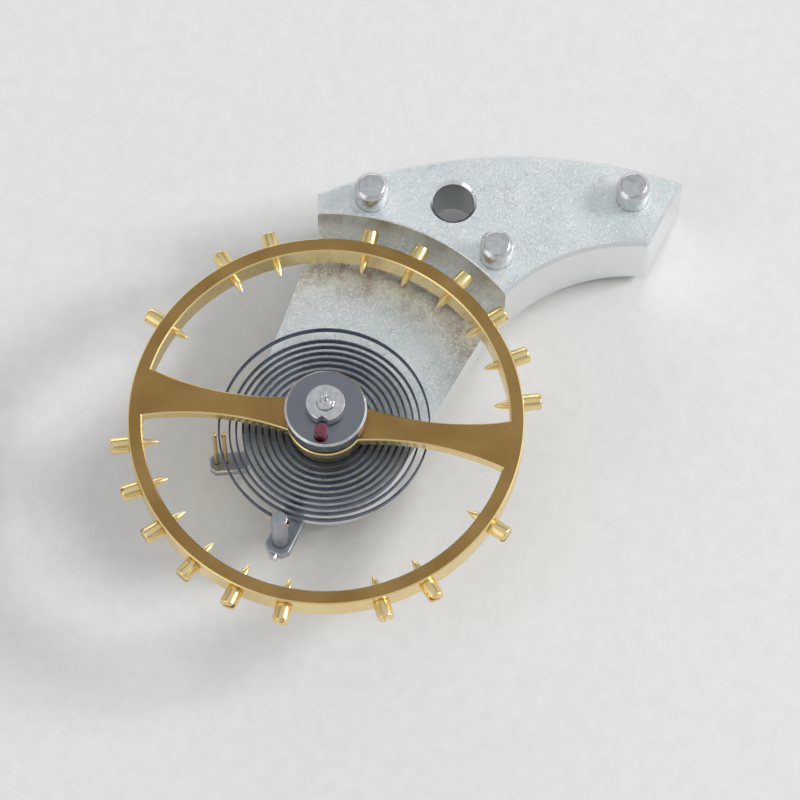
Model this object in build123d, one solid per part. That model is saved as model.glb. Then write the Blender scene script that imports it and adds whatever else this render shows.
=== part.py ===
from build123d import *
import math
import os

# Balance wheel assembly of a 10 1/2 ligne watch movement, shown with the dial side up:
# the screwed balance on its staff, its rollers, the hairspring, and the balance cock
# with its jewels, stud holder and regulator. Millimetres. The balance turns about Z,
# the origin is the tip of the lower pivot, and the dial side of the movement is +Z.

# Clearances
fit_gap = 0.004
turning_gap = 0.02
overrun = 0.5

# Balance rim and arms
rim_diameter = 9.4
rim_width = 0.34
rim_height = 0.70
rim_bevel = 0.03
arm_thickness = 0.28
arm_hub_width = 0.88
arm_waist_width = 0.60
arm_root_width = 1.36
arm_waist_share = 0.46
arm_hub_margin = 0.42
arm_direction = -9.0

# Timing screws, counted in degrees from one arm and repeated half a turn on
screw_head_diameter = 0.40
screw_head_length = 0.45
screw_head_bevel = 0.04
screw_thread_diameter = 0.20
screw_straight_length = 0.08
screw_point_length = 0.28
screw_point_diameter = 0.03
screw_slot_width = 0.07
screw_slot_depth = 0.09
screw_angles = [15.5, 29.6, 43.2, 58.0, 72.5, 87.2, 115.2, 129.6, 155.4]
slot_turn_step = 37.0

# Balance staff
pivot_diameter = 0.10
pivot_length = 0.26
pivot_end_round = 0.015
pivot_cone_length = 0.10
pivot_cone_diameter = 0.26
roller_seat_diameter = 0.42
roller_seat_lead = 0.08
staff_hub_diameter = 1.20
staff_hub_height = 0.20
arm_seat_diameter = 0.84
rivet_width = 0.06
rivet_height = 0.05
collet_seat_diameter = 0.38
collet_seat_run = 0.04
upper_shank_diameter = 0.28
end_shake = 0.02

# Rollers and impulse jewel
safety_roller_diameter = 0.92
safety_roller_height = 0.30
crescent_diameter = 0.26
crescent_depth = 0.10
roller_gap = 0.04
roller_diameter = 1.95
roller_height = 0.42
roller_bevel = 0.05
impulse_jewel_diameter = 0.30
impulse_jewel_flat_share = 0.36
impulse_jewel_reach = 0.42
impulse_jewel_edge = 0.105
impulse_direction = arm_direction - 90.0

# Hairspring, collet and wedge pins
spring_thickness = 0.04
spring_height = 0.16
spring_pitch = 0.158
spring_half_turns = 21
spring_outer_step = 0.215
spring_gap = 0.28
spring_hole_gap = 0.008
collet_inner_wall = 0.05
collet_outer_wall = 0.03
collet_height = 0.44
collet_slit_width = 0.07
collet_tail_gap = 0.05
wedge_pin_overhang = 0.06

# Stud, stud holder and stud screw
stud_direction = 245.0
stud_diameter = 0.40
stud_offset = 0.04
stud_overhang = 0.06
spring_end_overhang = 0.05
holder_thickness = 0.28
holder_arm_width = 0.62
holder_end_wall = 0.15
stud_screw_diameter = 0.12
stud_screw_head_diameter = 0.22
stud_screw_head_length = 0.12

# Regulator and curb pins
regulator_direction = 185.0
pointer_direction = 76.0
regulator_thickness = 0.26
regulator_arm_width = 0.50
regulator_end_wall = 0.12
pointer_length = 3.1
pointer_root_width = 0.60
pointer_tip_width = 0.14
ring_width = 0.55
curb_pin_diameter = 0.10
curb_clearance = 0.04
curb_overhang = 0.12

# Jewels, their setting and the end piece
setting_diameter = 1.24
setting_opening = 0.62
hole_jewel_diameter = 0.90
hole_jewel_thickness = 0.28
hole_jewel_inset = 0.02
pivot_hole_gap = 0.015
oil_cup_diameter = 0.40
oil_cup_depth = 0.09
cap_jewel_diameter = 0.84
cap_jewel_thickness = 0.20
cap_window_diameter = 0.56
end_piece_diameter = 2.30
end_piece_flange = 0.30
end_piece_flange_height = 0.18
end_screw_diameter = 0.26
end_screw_head_diameter = 0.48
end_screw_head_height = 0.12
end_screw_depth = 0.50
end_screw_wall = 0.10
end_screw_direction = 160.0

# Balance cock and its steady pins
cock_arm_thickness = 0.90
recess_depth = 1.00
recess_clearance = 0.20
rim_floor_gap = 0.30
step_radius_share = 0.822
step_depth = 0.06
tip_clearance = 0.40
cock_bevel = 0.08
screw_hole_diameter = 1.00
screw_hole_bevel = 0.07
screw_recess_diameter = 1.70
screw_recess_depth = 0.45
steady_pin_diameter = 0.80
steady_pin_reach = 0.67
steady_pin_bevel = 0.10
steady_pin_shank_diameter = 0.44
steady_pin_sink = 0.06
steady_pin_depth = 1.00
pin_wall = 0.13
edge_margin = 0.19
left_end_margin = 0.90
right_end_margin = 0.51
right_end_slope = 62.8
side_margin = 0.51
left_pin_angle = 79.6
inner_pin_angle = 46.3
screw_hole_angle = 61.8
right_pin_angle = 38.2
screw_hole_distance_share = 1.202
right_pin_distance_share = 1.751
movement_centre_shares = (0.843, -0.899)
side_centre_shares = (1.376, 0.041)

# Levels, counted down from the tip of the lower pivot
safety_roller_top = -(pivot_length + pivot_cone_length + roller_seat_lead)
safety_roller_bottom = safety_roller_top - safety_roller_height
roller_top = safety_roller_bottom - roller_gap
roller_bottom = roller_top - roller_height
arm_top = roller_bottom - staff_hub_height
arm_bottom = arm_top - arm_thickness
rim_bottom = arm_top - rim_height
spring_top = arm_bottom - spring_gap
spring_middle = spring_top - spring_height / 2
spring_bottom = spring_top - spring_height
cock_under = min(spring_bottom - spring_gap, rim_bottom - rim_floor_gap)
seat_level = cock_under + recess_depth
cock_top = cock_under - cock_arm_thickness
hole_jewel_bottom = cock_top + hole_jewel_inset
hole_jewel_top = hole_jewel_bottom + hole_jewel_thickness
cap_jewel_top = cock_top - turning_gap
upper_pivot_tip = cap_jewel_top + end_shake
upper_pivot_shoulder = hole_jewel_top + turning_gap
upper_cone_top = upper_pivot_shoulder + pivot_cone_length
holder_top = cock_top - turning_gap
holder_bottom = holder_top - holder_thickness
regulator_top = holder_bottom - turning_gap
regulator_bottom = regulator_top - regulator_thickness
flange_top = regulator_bottom - turning_gap
flange_bottom = flange_top - end_piece_flange_height

# Radii about the balance axis
rim_radius = rim_diameter / 2
rim_inner_radius = rim_radius - rim_width
recess_radius = rim_radius + screw_head_length + recess_clearance
spring_hole_radius = math.hypot(spring_thickness, spring_height) / 2 + spring_hole_gap
wedge_space = spring_hole_radius - spring_thickness / 2
wedge_pin_radius = wedge_space / 2 - fit_gap
wedge_pin_offset = spring_thickness / 2 + wedge_space / 2
spring_tail_radius = collet_seat_diameter / 2 + collet_inner_wall + spring_hole_radius
collet_radius = spring_tail_radius + spring_hole_radius + collet_outer_wall
spring_tail_end = math.sqrt(collet_radius**2 - spring_tail_radius**2) + collet_tail_gap
spring_first_radius = spring_tail_end + spring_tail_radius
spring_last_radius = spring_first_radius + spring_half_turns * spring_pitch / 2
spring_outer_radius = spring_last_radius + spring_outer_step
stud_radius = spring_outer_radius + stud_offset
tip_radius = stud_radius - stud_diameter / 2 - tip_clearance
curb_pin_offset = spring_thickness / 2 + curb_clearance + curb_pin_diameter / 2
end_piece_radius = end_piece_diameter / 2
ring_inner_radius = end_piece_radius + turning_gap
ring_radius = ring_inner_radius + ring_width
end_screw_radius = end_piece_radius - end_screw_wall - end_screw_head_diameter / 2
impulse_radius = roller_diameter / 2 - impulse_jewel_edge - impulse_jewel_diameter / 2
pin_ring_radius = recess_radius + pin_wall + steady_pin_diameter / 2


def at_angle(radius, degrees):
    """The point of the plan at this distance and direction from the balance axis."""
    turn = math.radians(degrees)
    return (radius * math.cos(turn), radius * math.sin(turn))


def disc(radius, bottom, top, place=(0, 0)):
    """An upright cylinder between two levels."""
    height = top - bottom
    return Pos(place[0], place[1], bottom + height / 2) * Cylinder(radius, height)


def turned(profile):
    """A solid turned about the balance axis from points of radius and level."""
    outline = Polyline(*[(radius, 0, level) for radius, level in profile], close=True)
    return revolve(make_face(outline), Axis.Z)


def cross_rod(radius, length, middle, level, degrees):
    """A level cylinder whose middle lies at a point of the plan, along a direction."""
    place = Pos(middle[0], middle[1], level)
    return place * Rot(0, 0, degrees) * Rot(0, 90, 0) * Cylinder(radius, length)


# Places in the plan of the cock
left_pin = at_angle(pin_ring_radius, left_pin_angle)
inner_pin = at_angle(pin_ring_radius, inner_pin_angle)
right_pin = at_angle(recess_radius * right_pin_distance_share, right_pin_angle)
screw_hole = at_angle(recess_radius * screw_hole_distance_share, screw_hole_angle)
steady_pins = {
    "steady_pin_left": left_pin,
    "steady_pin_inner": inner_pin,
    "steady_pin_right": right_pin,
}
movement_centre = tuple(share * recess_radius for share in movement_centre_shares)
side_centre = tuple(share * recess_radius for share in side_centre_shares)
steady_pin_radius = steady_pin_diameter / 2
movement_radius = math.dist(movement_centre, left_pin) + steady_pin_radius + edge_margin
side_radius = math.dist(side_centre, inner_pin) - steady_pin_radius - side_margin


def line_meets_circle(point, degrees, centre, radius):
    """Where a ray from a point, in a direction, leaves a circle or enters it."""
    along = at_angle(1, degrees)
    offset = (point[0] - centre[0], point[1] - centre[1])
    half = offset[0] * along[0] + offset[1] * along[1]
    reach = math.sqrt(half**2 - offset[0] ** 2 - offset[1] ** 2 + radius**2)
    distances = sorted(run for run in (-half - reach, -half + reach) if run > 0)
    run = distances[0]
    return (point[0] + run * along[0], point[1] + run * along[1])


def arc_between(centre, radius, start, end, turn):
    """The arc about a centre between two points, turning left for 1 and right for -1."""
    first = math.degrees(math.atan2(start[1] - centre[1], start[0] - centre[0]))
    last = math.degrees(math.atan2(end[1] - centre[1], end[0] - centre[0]))
    size = (last - first) * turn % 360
    return CenterArc(centre, radius, first, size * turn)


def cock_outline():
    """The plan of the cock: foot along the movement's edge, arm down to a round tip."""
    left_x = left_pin[0] - steady_pin_radius - left_end_margin
    left_low = (left_x, math.sqrt(recess_radius**2 - left_x**2))
    left_high = line_meets_circle(left_low, 90, movement_centre, movement_radius)
    end_offset = at_angle(steady_pin_radius + right_end_margin, right_end_slope - 90)
    end_point = (right_pin[0] + end_offset[0], right_pin[1] + end_offset[1])
    right_high = line_meets_circle(
        end_point, right_end_slope, movement_centre, movement_radius
    )
    right_low = line_meets_circle(
        end_point, right_end_slope + 180, side_centre, side_radius
    )
    gap = math.hypot(*side_centre)
    bearing = math.degrees(math.atan2(side_centre[1], side_centre[0]))
    lean = math.degrees(math.acos((side_radius + tip_radius) / gap))
    tip_right = at_angle(tip_radius, bearing - lean)
    side_offset = at_angle(side_radius, bearing - lean + 180)
    side_low = (side_centre[0] + side_offset[0], side_centre[1] + side_offset[1])
    left_bearing = math.degrees(math.atan2(left_low[1], left_low[0]))
    left_lean = math.degrees(math.acos(tip_radius / math.hypot(*left_low)))
    tip_left = at_angle(tip_radius, left_bearing + left_lean)
    return [
        arc_between(movement_centre, movement_radius, left_high, right_high, -1),
        Line(right_high, right_low),
        arc_between(side_centre, side_radius, right_low, side_low, 1),
        Line(side_low, tip_right),
        arc_between((0, 0), tip_radius, tip_right, tip_left, -1),
        Line(tip_left, left_low),
        Line(left_low, left_high),
    ]


def balance_cock():
    """Flat plate milled out in an arc for the balance, bored for jewels, pins and screw."""
    plan = make_face(Wire(cock_outline()))
    cock = extrude(Pos(0, 0, cock_top) * plan, seat_level - cock_top)
    rims = cock.faces().sort_by(Axis.Z)
    cock = chamfer(rims[0].edges() + rims[-1].edges(), cock_bevel)
    cock -= disc(recess_radius, cock_under, seat_level + overrun)
    groove = disc(recess_radius, cock_under - step_depth, seat_level)
    groove -= disc(recess_radius * step_radius_share, cock_under - overrun, seat_level)
    cock -= groove
    cock -= disc(setting_diameter / 2 + fit_gap, cock_top - overrun, cock_under + overrun)
    cock -= disc(screw_hole_diameter / 2, cock_top - overrun, seat_level + overrun, screw_hole)
    sink = Cone(
        screw_hole_diameter / 2, screw_hole_diameter / 2 + screw_hole_bevel, screw_hole_bevel
    )
    cock -= Pos(screw_hole[0], screw_hole[1], seat_level - screw_hole_bevel / 2) * sink
    head_floor = cock_top + screw_recess_depth
    cock -= disc(screw_recess_diameter / 2, cock_top - overrun, head_floor, screw_hole)
    for place in steady_pins.values():
        hole_floor = seat_level - steady_pin_depth
        hole_radius = steady_pin_shank_diameter / 2 + fit_gap
        cock -= disc(hole_radius, hole_floor, seat_level, place)
        sink_floor = seat_level - steady_pin_sink
        cock -= disc(steady_pin_radius + fit_gap, sink_floor, seat_level + overrun, place)
    for place in end_screw_places():
        hole_roof = cock_top + end_screw_depth
        cock -= disc(end_screw_diameter / 2 + fit_gap, cock_top - overrun, hole_roof, place)
    return cock


def steady_pin(place):
    """Hardened pin, its thinner shank pressed into the foot and its free end bevelled."""
    shoulder = seat_level - steady_pin_sink
    head = disc(steady_pin_radius, shoulder, seat_level + steady_pin_reach, place)
    head = chamfer(head.edges().sort_by(Axis.Z)[-1], steady_pin_bevel)
    shank_radius = steady_pin_shank_diameter / 2
    return head + disc(shank_radius, seat_level - steady_pin_depth, shoulder, place)


def end_screw_places():
    """The two screws of the end piece, on either side of the jewels."""
    return [at_angle(end_screw_radius, end_screw_direction + turn) for turn in (0, 180)]


def jewel_setting():
    """Brass bush pressed into the cock's arm, bored from below for the hole jewel."""
    bush = disc(setting_diameter / 2, cock_top, cock_under)
    bush -= disc(hole_jewel_diameter / 2 + fit_gap, cock_top, hole_jewel_top + fit_gap)
    return bush - disc(setting_opening / 2, hole_jewel_top, cock_under)


def hole_jewel():
    """Ruby bearing ring with an oil cup towards the staff."""
    pivot_hole_radius = pivot_diameter / 2 + pivot_hole_gap
    cup_floor = hole_jewel_top - oil_cup_depth
    return turned(
        [
            (pivot_hole_radius, hole_jewel_bottom),
            (hole_jewel_diameter / 2, hole_jewel_bottom),
            (hole_jewel_diameter / 2, hole_jewel_top),
            (oil_cup_diameter / 2, hole_jewel_top),
            (pivot_hole_radius, cup_floor),
        ]
    )


def cap_jewel():
    """Flat ruby that the end of the upper pivot rests on."""
    return disc(cap_jewel_diameter / 2, cap_jewel_top - cap_jewel_thickness, cap_jewel_top)


def end_piece():
    """Plate on top of the cock that holds the cap jewel and keeps both rings in place."""
    plate = disc(end_piece_radius, flange_bottom, cock_top)
    plate += disc(end_piece_radius + end_piece_flange, flange_bottom, flange_top)
    pocket_floor = cap_jewel_top - cap_jewel_thickness
    plate -= disc(cap_jewel_diameter / 2 + fit_gap, pocket_floor, cock_top + overrun)
    plate -= disc(cap_window_diameter / 2, flange_bottom - overrun, cock_top)
    head_roof = flange_bottom + end_screw_head_height
    for place in end_screw_places():
        plate -= disc(end_screw_diameter / 2 + fit_gap, flange_bottom, cock_top, place)
        plate -= disc(
            end_screw_head_diameter / 2 + fit_gap, flange_bottom - overrun, head_roof, place
        )
    return plate


def end_piece_screws():
    """The two screws that hold the end piece, each a solid of its own."""
    screws = []
    for place in end_screw_places():
        head_top = flange_bottom + end_screw_head_height
        screw = disc(end_screw_head_diameter / 2, flange_bottom, head_top, place)
        screw += disc(end_screw_diameter / 2, head_top, cock_top + end_screw_depth, place)
        slot = Box(end_screw_head_diameter, screw_slot_width, 2 * screw_slot_width)
        screw -= Pos(place[0], place[1], flange_bottom) * slot
        screws.append(screw)
    return Compound(children=screws)


def stud_holder():
    """Ring turned by friction under the cock's end piece, its arm clamping the stud."""
    end = stud_radius + stud_diameter / 2 + holder_end_wall
    arm = Box(end, holder_arm_width, holder_thickness, align=(Align.MIN, Align.CENTER, Align.MIN))
    arm = chamfer(arm.edges().filter_by(Axis.Z).sort_by(Axis.X)[-2:], holder_end_wall)
    holder = disc(ring_radius, holder_bottom, holder_top)
    holder += Rot(0, 0, stud_direction) * Pos(0, 0, holder_bottom) * arm
    holder -= disc(ring_inner_radius, holder_bottom - overrun, holder_top + overrun)
    stud_place = at_angle(stud_radius, stud_direction)
    holder -= disc(
        stud_diameter / 2 + fit_gap, holder_bottom - overrun, holder_top + overrun, stud_place
    )
    middle = at_angle(end, stud_direction)
    level = (holder_top + holder_bottom) / 2
    bore = cross_rod(
        stud_screw_diameter / 2 + fit_gap,
        2 * (holder_end_wall + stud_diameter / 2),
        middle,
        level,
        stud_direction,
    )
    return holder - bore


def stud_screw():
    """Screw through the end of the stud holder that clamps the stud."""
    end = stud_radius + stud_diameter / 2 + holder_end_wall
    level = (holder_top + holder_bottom) / 2
    shank_length = holder_end_wall - fit_gap
    shank_middle = at_angle(end - shank_length / 2, stud_direction)
    head_middle = at_angle(end + stud_screw_head_length / 2, stud_direction)
    screw = cross_rod(
        stud_screw_diameter / 2, shank_length, shank_middle, level, stud_direction
    )
    return screw + cross_rod(
        stud_screw_head_diameter / 2, stud_screw_head_length, head_middle, level, stud_direction
    )


def hairspring_stud():
    """Steel post that holds the outer end of the hairspring in a cross hole."""
    place = at_angle(stud_radius, stud_direction)
    post = disc(stud_diameter / 2, holder_bottom, spring_top + stud_overhang, place)
    hole_middle = at_angle(spring_outer_radius, stud_direction)
    return post - cross_rod(
        spring_hole_radius, 2 * stud_diameter, hole_middle, spring_middle, stud_direction + 90
    )


def stud_pin():
    """Brass wedge beside the spring's outer end, in the stud's cross hole."""
    middle = at_angle(spring_outer_radius + wedge_pin_offset, stud_direction)
    length = stud_diameter + 2 * wedge_pin_overhang
    return cross_rod(wedge_pin_radius, length, middle, spring_middle, stud_direction + 90)


def spring_arcs():
    """The spring's line after its straight tail: centre height, radius, start and turn."""
    arcs = [(spring_tail_end, spring_tail_radius, 0.0, 90.0)]
    here = spring_first_radius
    for number in range(spring_half_turns):
        side = -1 if number % 2 else 1
        following = here + spring_pitch / 2
        height = side * (here - following) / 2
        arcs.append((height, (here + following) / 2, side * 90.0, 180.0))
        here = following
    outward = spring_outer_radius
    arcs.append(((outward - here) / 2, (outward + here) / 2, 270.0, 180.0))
    past_stud = math.degrees((stud_diameter / 2 + spring_end_overhang) / spring_outer_radius)
    arcs.append((0.0, spring_outer_radius, 90.0, stud_direction - 90.0 + past_stud))
    return arcs


def spring_least_gap():
    """The least distance between two turns of the spring's strip, on sampled points."""
    steps = 24
    points = []
    for height, radius, start, turn in spring_arcs():
        for step in range(steps):
            angle = math.radians(start + turn * step / steps)
            points.append((radius * math.cos(angle), height + radius * math.sin(angle)))
    spans = [
        math.dist(points[i], points[j])
        for i in range(len(points))
        for j in range(i + steps, len(points))
    ]
    return min(spans) - spring_thickness


def hairspring():
    """Flat strip wound in half turns from the collet's hole out to the stud."""
    edges = []
    ends = []
    tail_start = -spring_tail_end
    for side in (-1, 1):
        shift = side * spring_thickness / 2
        first = spring_tail_radius + shift
        edges.append(Line((first, tail_start), (first, spring_tail_end)))
        for height, radius, start, turn in spring_arcs():
            edges.append(CenterArc((0, height), radius + shift, start, turn))
        ends.append(((first, tail_start), edges[-1] @ 1))
    edges.append(Line(ends[0][0], ends[1][0]))
    edges.append(Line(ends[0][1], ends[1][1]))
    strip = make_face(Wire(edges))
    return extrude(Pos(0, 0, spring_bottom) * strip, spring_height)


def collet():
    """Split ring pressed on the staff, cross drilled for the spring's inner end."""
    half_height = collet_height / 2
    ring = disc(collet_radius, spring_middle - half_height, spring_middle + half_height)
    ring -= disc(
        collet_seat_diameter / 2 + fit_gap, spring_middle - collet_height, spring_middle + collet_height
    )
    ring -= cross_rod(
        spring_hole_radius, 4 * collet_radius, (spring_tail_radius, 0), spring_middle, 90
    )
    slit = Box(
        collet_radius, collet_slit_width, 2 * collet_height, align=(Align.MAX, Align.CENTER, Align.CENTER)
    )
    return ring - Pos(0, 0, spring_middle) * slit


def collet_pin():
    """Brass wedge beside the spring's inner end, in the collet's cross hole."""
    middle = (spring_tail_radius - wedge_pin_offset, 0)
    length = 2 * (collet_radius + wedge_pin_overhang)
    return cross_rod(wedge_pin_radius, length, middle, spring_middle, 90)


def regulator():
    """Ring with a short arm for the curb pins and a pointer that the watchmaker moves."""
    end = spring_outer_radius + curb_pin_offset + curb_pin_diameter / 2 + regulator_end_wall
    arm = Box(
        end, regulator_arm_width, regulator_thickness, align=(Align.MIN, Align.CENTER, Align.MIN)
    )
    arm = chamfer(arm.edges().filter_by(Axis.Z).sort_by(Axis.X)[-2:], regulator_end_wall)
    pointer_end = ring_radius + pointer_length
    pointer = make_face(
        Polyline(
            (0, -pointer_root_width / 2),
            (ring_radius, -pointer_root_width / 2),
            (pointer_end, -pointer_tip_width / 2),
            (pointer_end, pointer_tip_width / 2),
            (ring_radius, pointer_root_width / 2),
            (0, pointer_root_width / 2),
            close=True,
        )
    )
    ring = disc(ring_radius, regulator_bottom, regulator_top)
    ring += Rot(0, 0, regulator_direction) * Pos(0, 0, regulator_bottom) * arm
    lever = extrude(pointer, regulator_thickness)
    ring += Rot(0, 0, pointer_direction) * Pos(0, 0, regulator_bottom) * lever
    ring -= disc(ring_inner_radius, regulator_bottom - overrun, regulator_top + overrun)
    for side in (-1, 1):
        place = curb_pin_place(side)
        hole_radius = curb_pin_diameter / 2 + fit_gap
        ring -= disc(hole_radius, regulator_bottom - overrun, regulator_top + overrun, place)
    return ring


def curb_pin_place(side):
    """The inner (-1) or outer (1) curb pin, beside the spring's outer turn."""
    return at_angle(spring_outer_radius + side * curb_pin_offset, regulator_direction)


def curb_pin(side):
    """Brass pin that stands up from the regulator beside the spring's outer turn."""
    top = spring_top + curb_overhang
    return disc(curb_pin_diameter / 2, regulator_bottom, top, curb_pin_place(side))


def screw_turns():
    """The direction of every timing screw, counted from +X."""
    return [arm_direction + half + angle for half in (0, 180) for angle in screw_angles]


def balance_wheel():
    """Rim turned in one piece with two flat arms that widen to the hub and the rim."""
    wheel = turned(
        [
            (rim_inner_radius, rim_bottom + rim_bevel),
            (rim_inner_radius + rim_bevel, rim_bottom),
            (rim_radius - rim_bevel, rim_bottom),
            (rim_radius, rim_bottom + rim_bevel),
            (rim_radius, arm_top - rim_bevel),
            (rim_radius - rim_bevel, arm_top),
            (rim_inner_radius, arm_top),
        ]
    )
    hub_radius = arm_seat_diameter / 2 + arm_hub_margin
    root = rim_radius - rim_width / 2
    waist = hub_radius + arm_waist_share * (rim_inner_radius - hub_radius)
    for half in (0, 180):
        sides = [
            ThreePointArc(
                (hub_radius, side * arm_hub_width / 2),
                (waist, side * arm_waist_width / 2),
                (root, side * arm_root_width / 2),
            )
            for side in (-1, 1)
        ]
        inner = Line(sides[0] @ 0, sides[1] @ 0)
        outer = Line(sides[0] @ 1, sides[1] @ 1)
        arm = extrude(make_face(Wire([sides[0], outer, sides[1], inner])), arm_thickness)
        wheel += Rot(0, 0, arm_direction + half) * Pos(0, 0, arm_bottom) * arm
    hub_reach = math.hypot(hub_radius, arm_hub_width / 2)
    wheel += disc(hub_reach, arm_bottom, arm_top)
    wheel -= disc(arm_seat_diameter / 2 + fit_gap, arm_bottom - overrun, arm_top + overrun)
    level = (arm_top + rim_bottom) / 2
    bore = screw_thread_diameter / 2 + fit_gap
    for turn in screw_turns():
        wheel -= cross_rod(bore, 2 * rim_width, at_angle(root, turn), level, turn)
    return wheel


def timing_screw(slot_turn):
    """One timing screw along +X: slotted head outside the rim, pointed end inside."""
    head_radius = screw_head_diameter / 2
    thread_radius = screw_thread_diameter / 2
    head_end = rim_radius + screw_head_length
    point_start = rim_inner_radius - screw_straight_length
    outline = Polyline(
        (head_end, 0),
        (head_end, head_radius - screw_head_bevel),
        (head_end - screw_head_bevel, head_radius),
        (rim_radius, head_radius),
        (rim_radius, thread_radius),
        (point_start, thread_radius),
        (point_start - screw_point_length, screw_point_diameter / 2),
        (point_start - screw_point_length, 0),
        close=True,
    )
    screw = revolve(make_face(outline), Axis.X)
    slot = Box(2 * screw_slot_depth, screw_slot_width, 2 * screw_head_diameter)
    return screw - Pos(head_end, 0, 0) * Rot(slot_turn, 0, 0) * slot


def timing_screws():
    """The screws round the rim, each a solid of its own, in two like halves."""
    level = (arm_top + rim_bottom) / 2
    screws = []
    for number, turn in enumerate(screw_turns()):
        screw = timing_screw(number * slot_turn_step)
        screws.append(Rot(0, 0, turn) * Pos(0, 0, level) * screw)
    return Compound(children=screws)


def balance_staff():
    """Steel arbor with a pivot at each end and seats for rollers, arms and collet."""
    pivot_radius = pivot_diameter / 2
    rivet_radius = arm_seat_diameter / 2 + rivet_width
    collet_run = spring_middle - collet_height / 2 - collet_seat_run
    return turned(
        [
            (0, 0),
            (pivot_radius - pivot_end_round, 0),
            (pivot_radius, -pivot_end_round),
            (pivot_radius, -pivot_length),
            (pivot_cone_diameter / 2, -pivot_length - pivot_cone_length),
            (roller_seat_diameter / 2, -pivot_length - pivot_cone_length),
            (roller_seat_diameter / 2, roller_bottom),
            (staff_hub_diameter / 2, roller_bottom),
            (staff_hub_diameter / 2, arm_top),
            (arm_seat_diameter / 2, arm_top),
            (arm_seat_diameter / 2, arm_bottom),
            (rivet_radius, arm_bottom),
            (rivet_radius - rivet_height, arm_bottom - rivet_height),
            (collet_seat_diameter / 2, arm_bottom - rivet_height),
            (collet_seat_diameter / 2, collet_run),
            (upper_shank_diameter / 2, upper_cone_top),
            (pivot_radius, upper_pivot_shoulder),
            (pivot_radius, upper_pivot_tip + pivot_end_round),
            (pivot_radius - pivot_end_round, upper_pivot_tip),
            (0, upper_pivot_tip),
        ]
    )


def safety_roller():
    """Small steel disc on the staff with a crescent cut in line with the impulse jewel."""
    radius = safety_roller_diameter / 2
    roller = disc(radius, safety_roller_bottom, safety_roller_top)
    roller -= disc(roller_seat_diameter / 2 + fit_gap, safety_roller_bottom, safety_roller_top)
    crescent_radius = crescent_diameter / 2
    place = at_angle(radius + crescent_radius - crescent_depth, impulse_direction)
    return roller - disc(
        crescent_radius, safety_roller_bottom - overrun, safety_roller_top + overrun, place
    )


def roller_table():
    """Polished steel disc on the staff that carries the impulse jewel."""
    table = disc(roller_diameter / 2, roller_bottom, roller_top)
    table = chamfer(table.edges().sort_by(Axis.Z)[-1], roller_bevel)
    table -= disc(
        roller_seat_diameter / 2 + fit_gap, roller_bottom - overrun, roller_top + overrun
    )
    place = at_angle(impulse_radius, impulse_direction)
    bore = impulse_jewel_diameter / 2 + fit_gap
    return table - disc(bore, roller_bottom - overrun, roller_top + overrun, place)


def impulse_jewel():
    """Ruby pin with a flat face outwards, standing up from the roller table."""
    radius = impulse_jewel_diameter / 2
    top = roller_top + impulse_jewel_reach
    pin = disc(radius, roller_bottom, top)
    flat = radius * (1 - impulse_jewel_flat_share)
    cutter = Box(
        impulse_jewel_diameter,
        2 * impulse_jewel_diameter,
        2 * (roller_height + impulse_jewel_reach),
        align=(Align.MIN, Align.CENTER, Align.CENTER),
    )
    pin -= Pos(flat, 0, roller_top) * cutter
    place = at_angle(impulse_radius, impulse_direction)
    return Pos(place[0], place[1], 0) * Rot(0, 0, impulse_direction) * pin


nodes = {
    "balance_cock": balance_cock(),
    "jewel_setting": jewel_setting(),
    "hole_jewel": hole_jewel(),
    "cap_jewel": cap_jewel(),
    "end_piece": end_piece(),
    "end_piece_screws": end_piece_screws(),
    "stud_holder": stud_holder(),
    "stud_screw": stud_screw(),
    "hairspring_stud": hairspring_stud(),
    "stud_pin": stud_pin(),
    "hairspring": hairspring(),
    "regulator": regulator(),
    "curb_pin_inner": curb_pin(-1),
    "curb_pin_outer": curb_pin(1),
    "balance_wheel": balance_wheel(),
    "timing_screws": timing_screws(),
    "balance_staff": balance_staff(),
    "safety_roller": safety_roller(),
    "roller_table": roller_table(),
    "impulse_jewel": impulse_jewel(),
    "collet": collet(),
    "collet_pin": collet_pin(),
}
for name, place in steady_pins.items():
    nodes[name] = steady_pin(place)

os.makedirs("parts", exist_ok=True)
for name, shape in nodes.items():
    export_step(shape, f"parts/{name}.step")

print(f"least gap between turns of the hairspring: {spring_least_gap():.3f} mm")
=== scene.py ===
import math

import bmesh
import bpy
from mathutils import Matrix, Vector


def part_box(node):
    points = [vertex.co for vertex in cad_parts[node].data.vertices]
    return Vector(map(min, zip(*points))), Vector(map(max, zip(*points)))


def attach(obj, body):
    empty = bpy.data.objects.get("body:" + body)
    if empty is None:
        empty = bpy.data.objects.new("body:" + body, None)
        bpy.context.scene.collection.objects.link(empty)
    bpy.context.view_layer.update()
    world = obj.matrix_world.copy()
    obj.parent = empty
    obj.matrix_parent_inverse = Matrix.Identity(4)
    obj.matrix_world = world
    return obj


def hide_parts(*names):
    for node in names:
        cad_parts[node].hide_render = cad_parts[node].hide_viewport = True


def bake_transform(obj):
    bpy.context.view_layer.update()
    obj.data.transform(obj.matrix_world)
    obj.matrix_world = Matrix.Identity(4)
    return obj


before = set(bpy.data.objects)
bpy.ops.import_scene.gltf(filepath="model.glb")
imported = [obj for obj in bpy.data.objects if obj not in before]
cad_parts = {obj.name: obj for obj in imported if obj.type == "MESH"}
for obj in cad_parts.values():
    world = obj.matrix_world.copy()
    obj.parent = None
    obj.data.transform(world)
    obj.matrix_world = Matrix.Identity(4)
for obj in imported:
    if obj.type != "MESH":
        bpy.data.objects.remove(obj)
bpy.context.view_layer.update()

# Table, daylight and camera. The assembly lies upside down on a pale sheet, on its end
# piece, the tip of the regulator and a corner of the foot, under a soft light from the
# right, and is seen from far off and steeply from above, as in the photograph.
MM = 0.001
view_elevation = math.radians(67)
view_distance = 110 * MM
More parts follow.
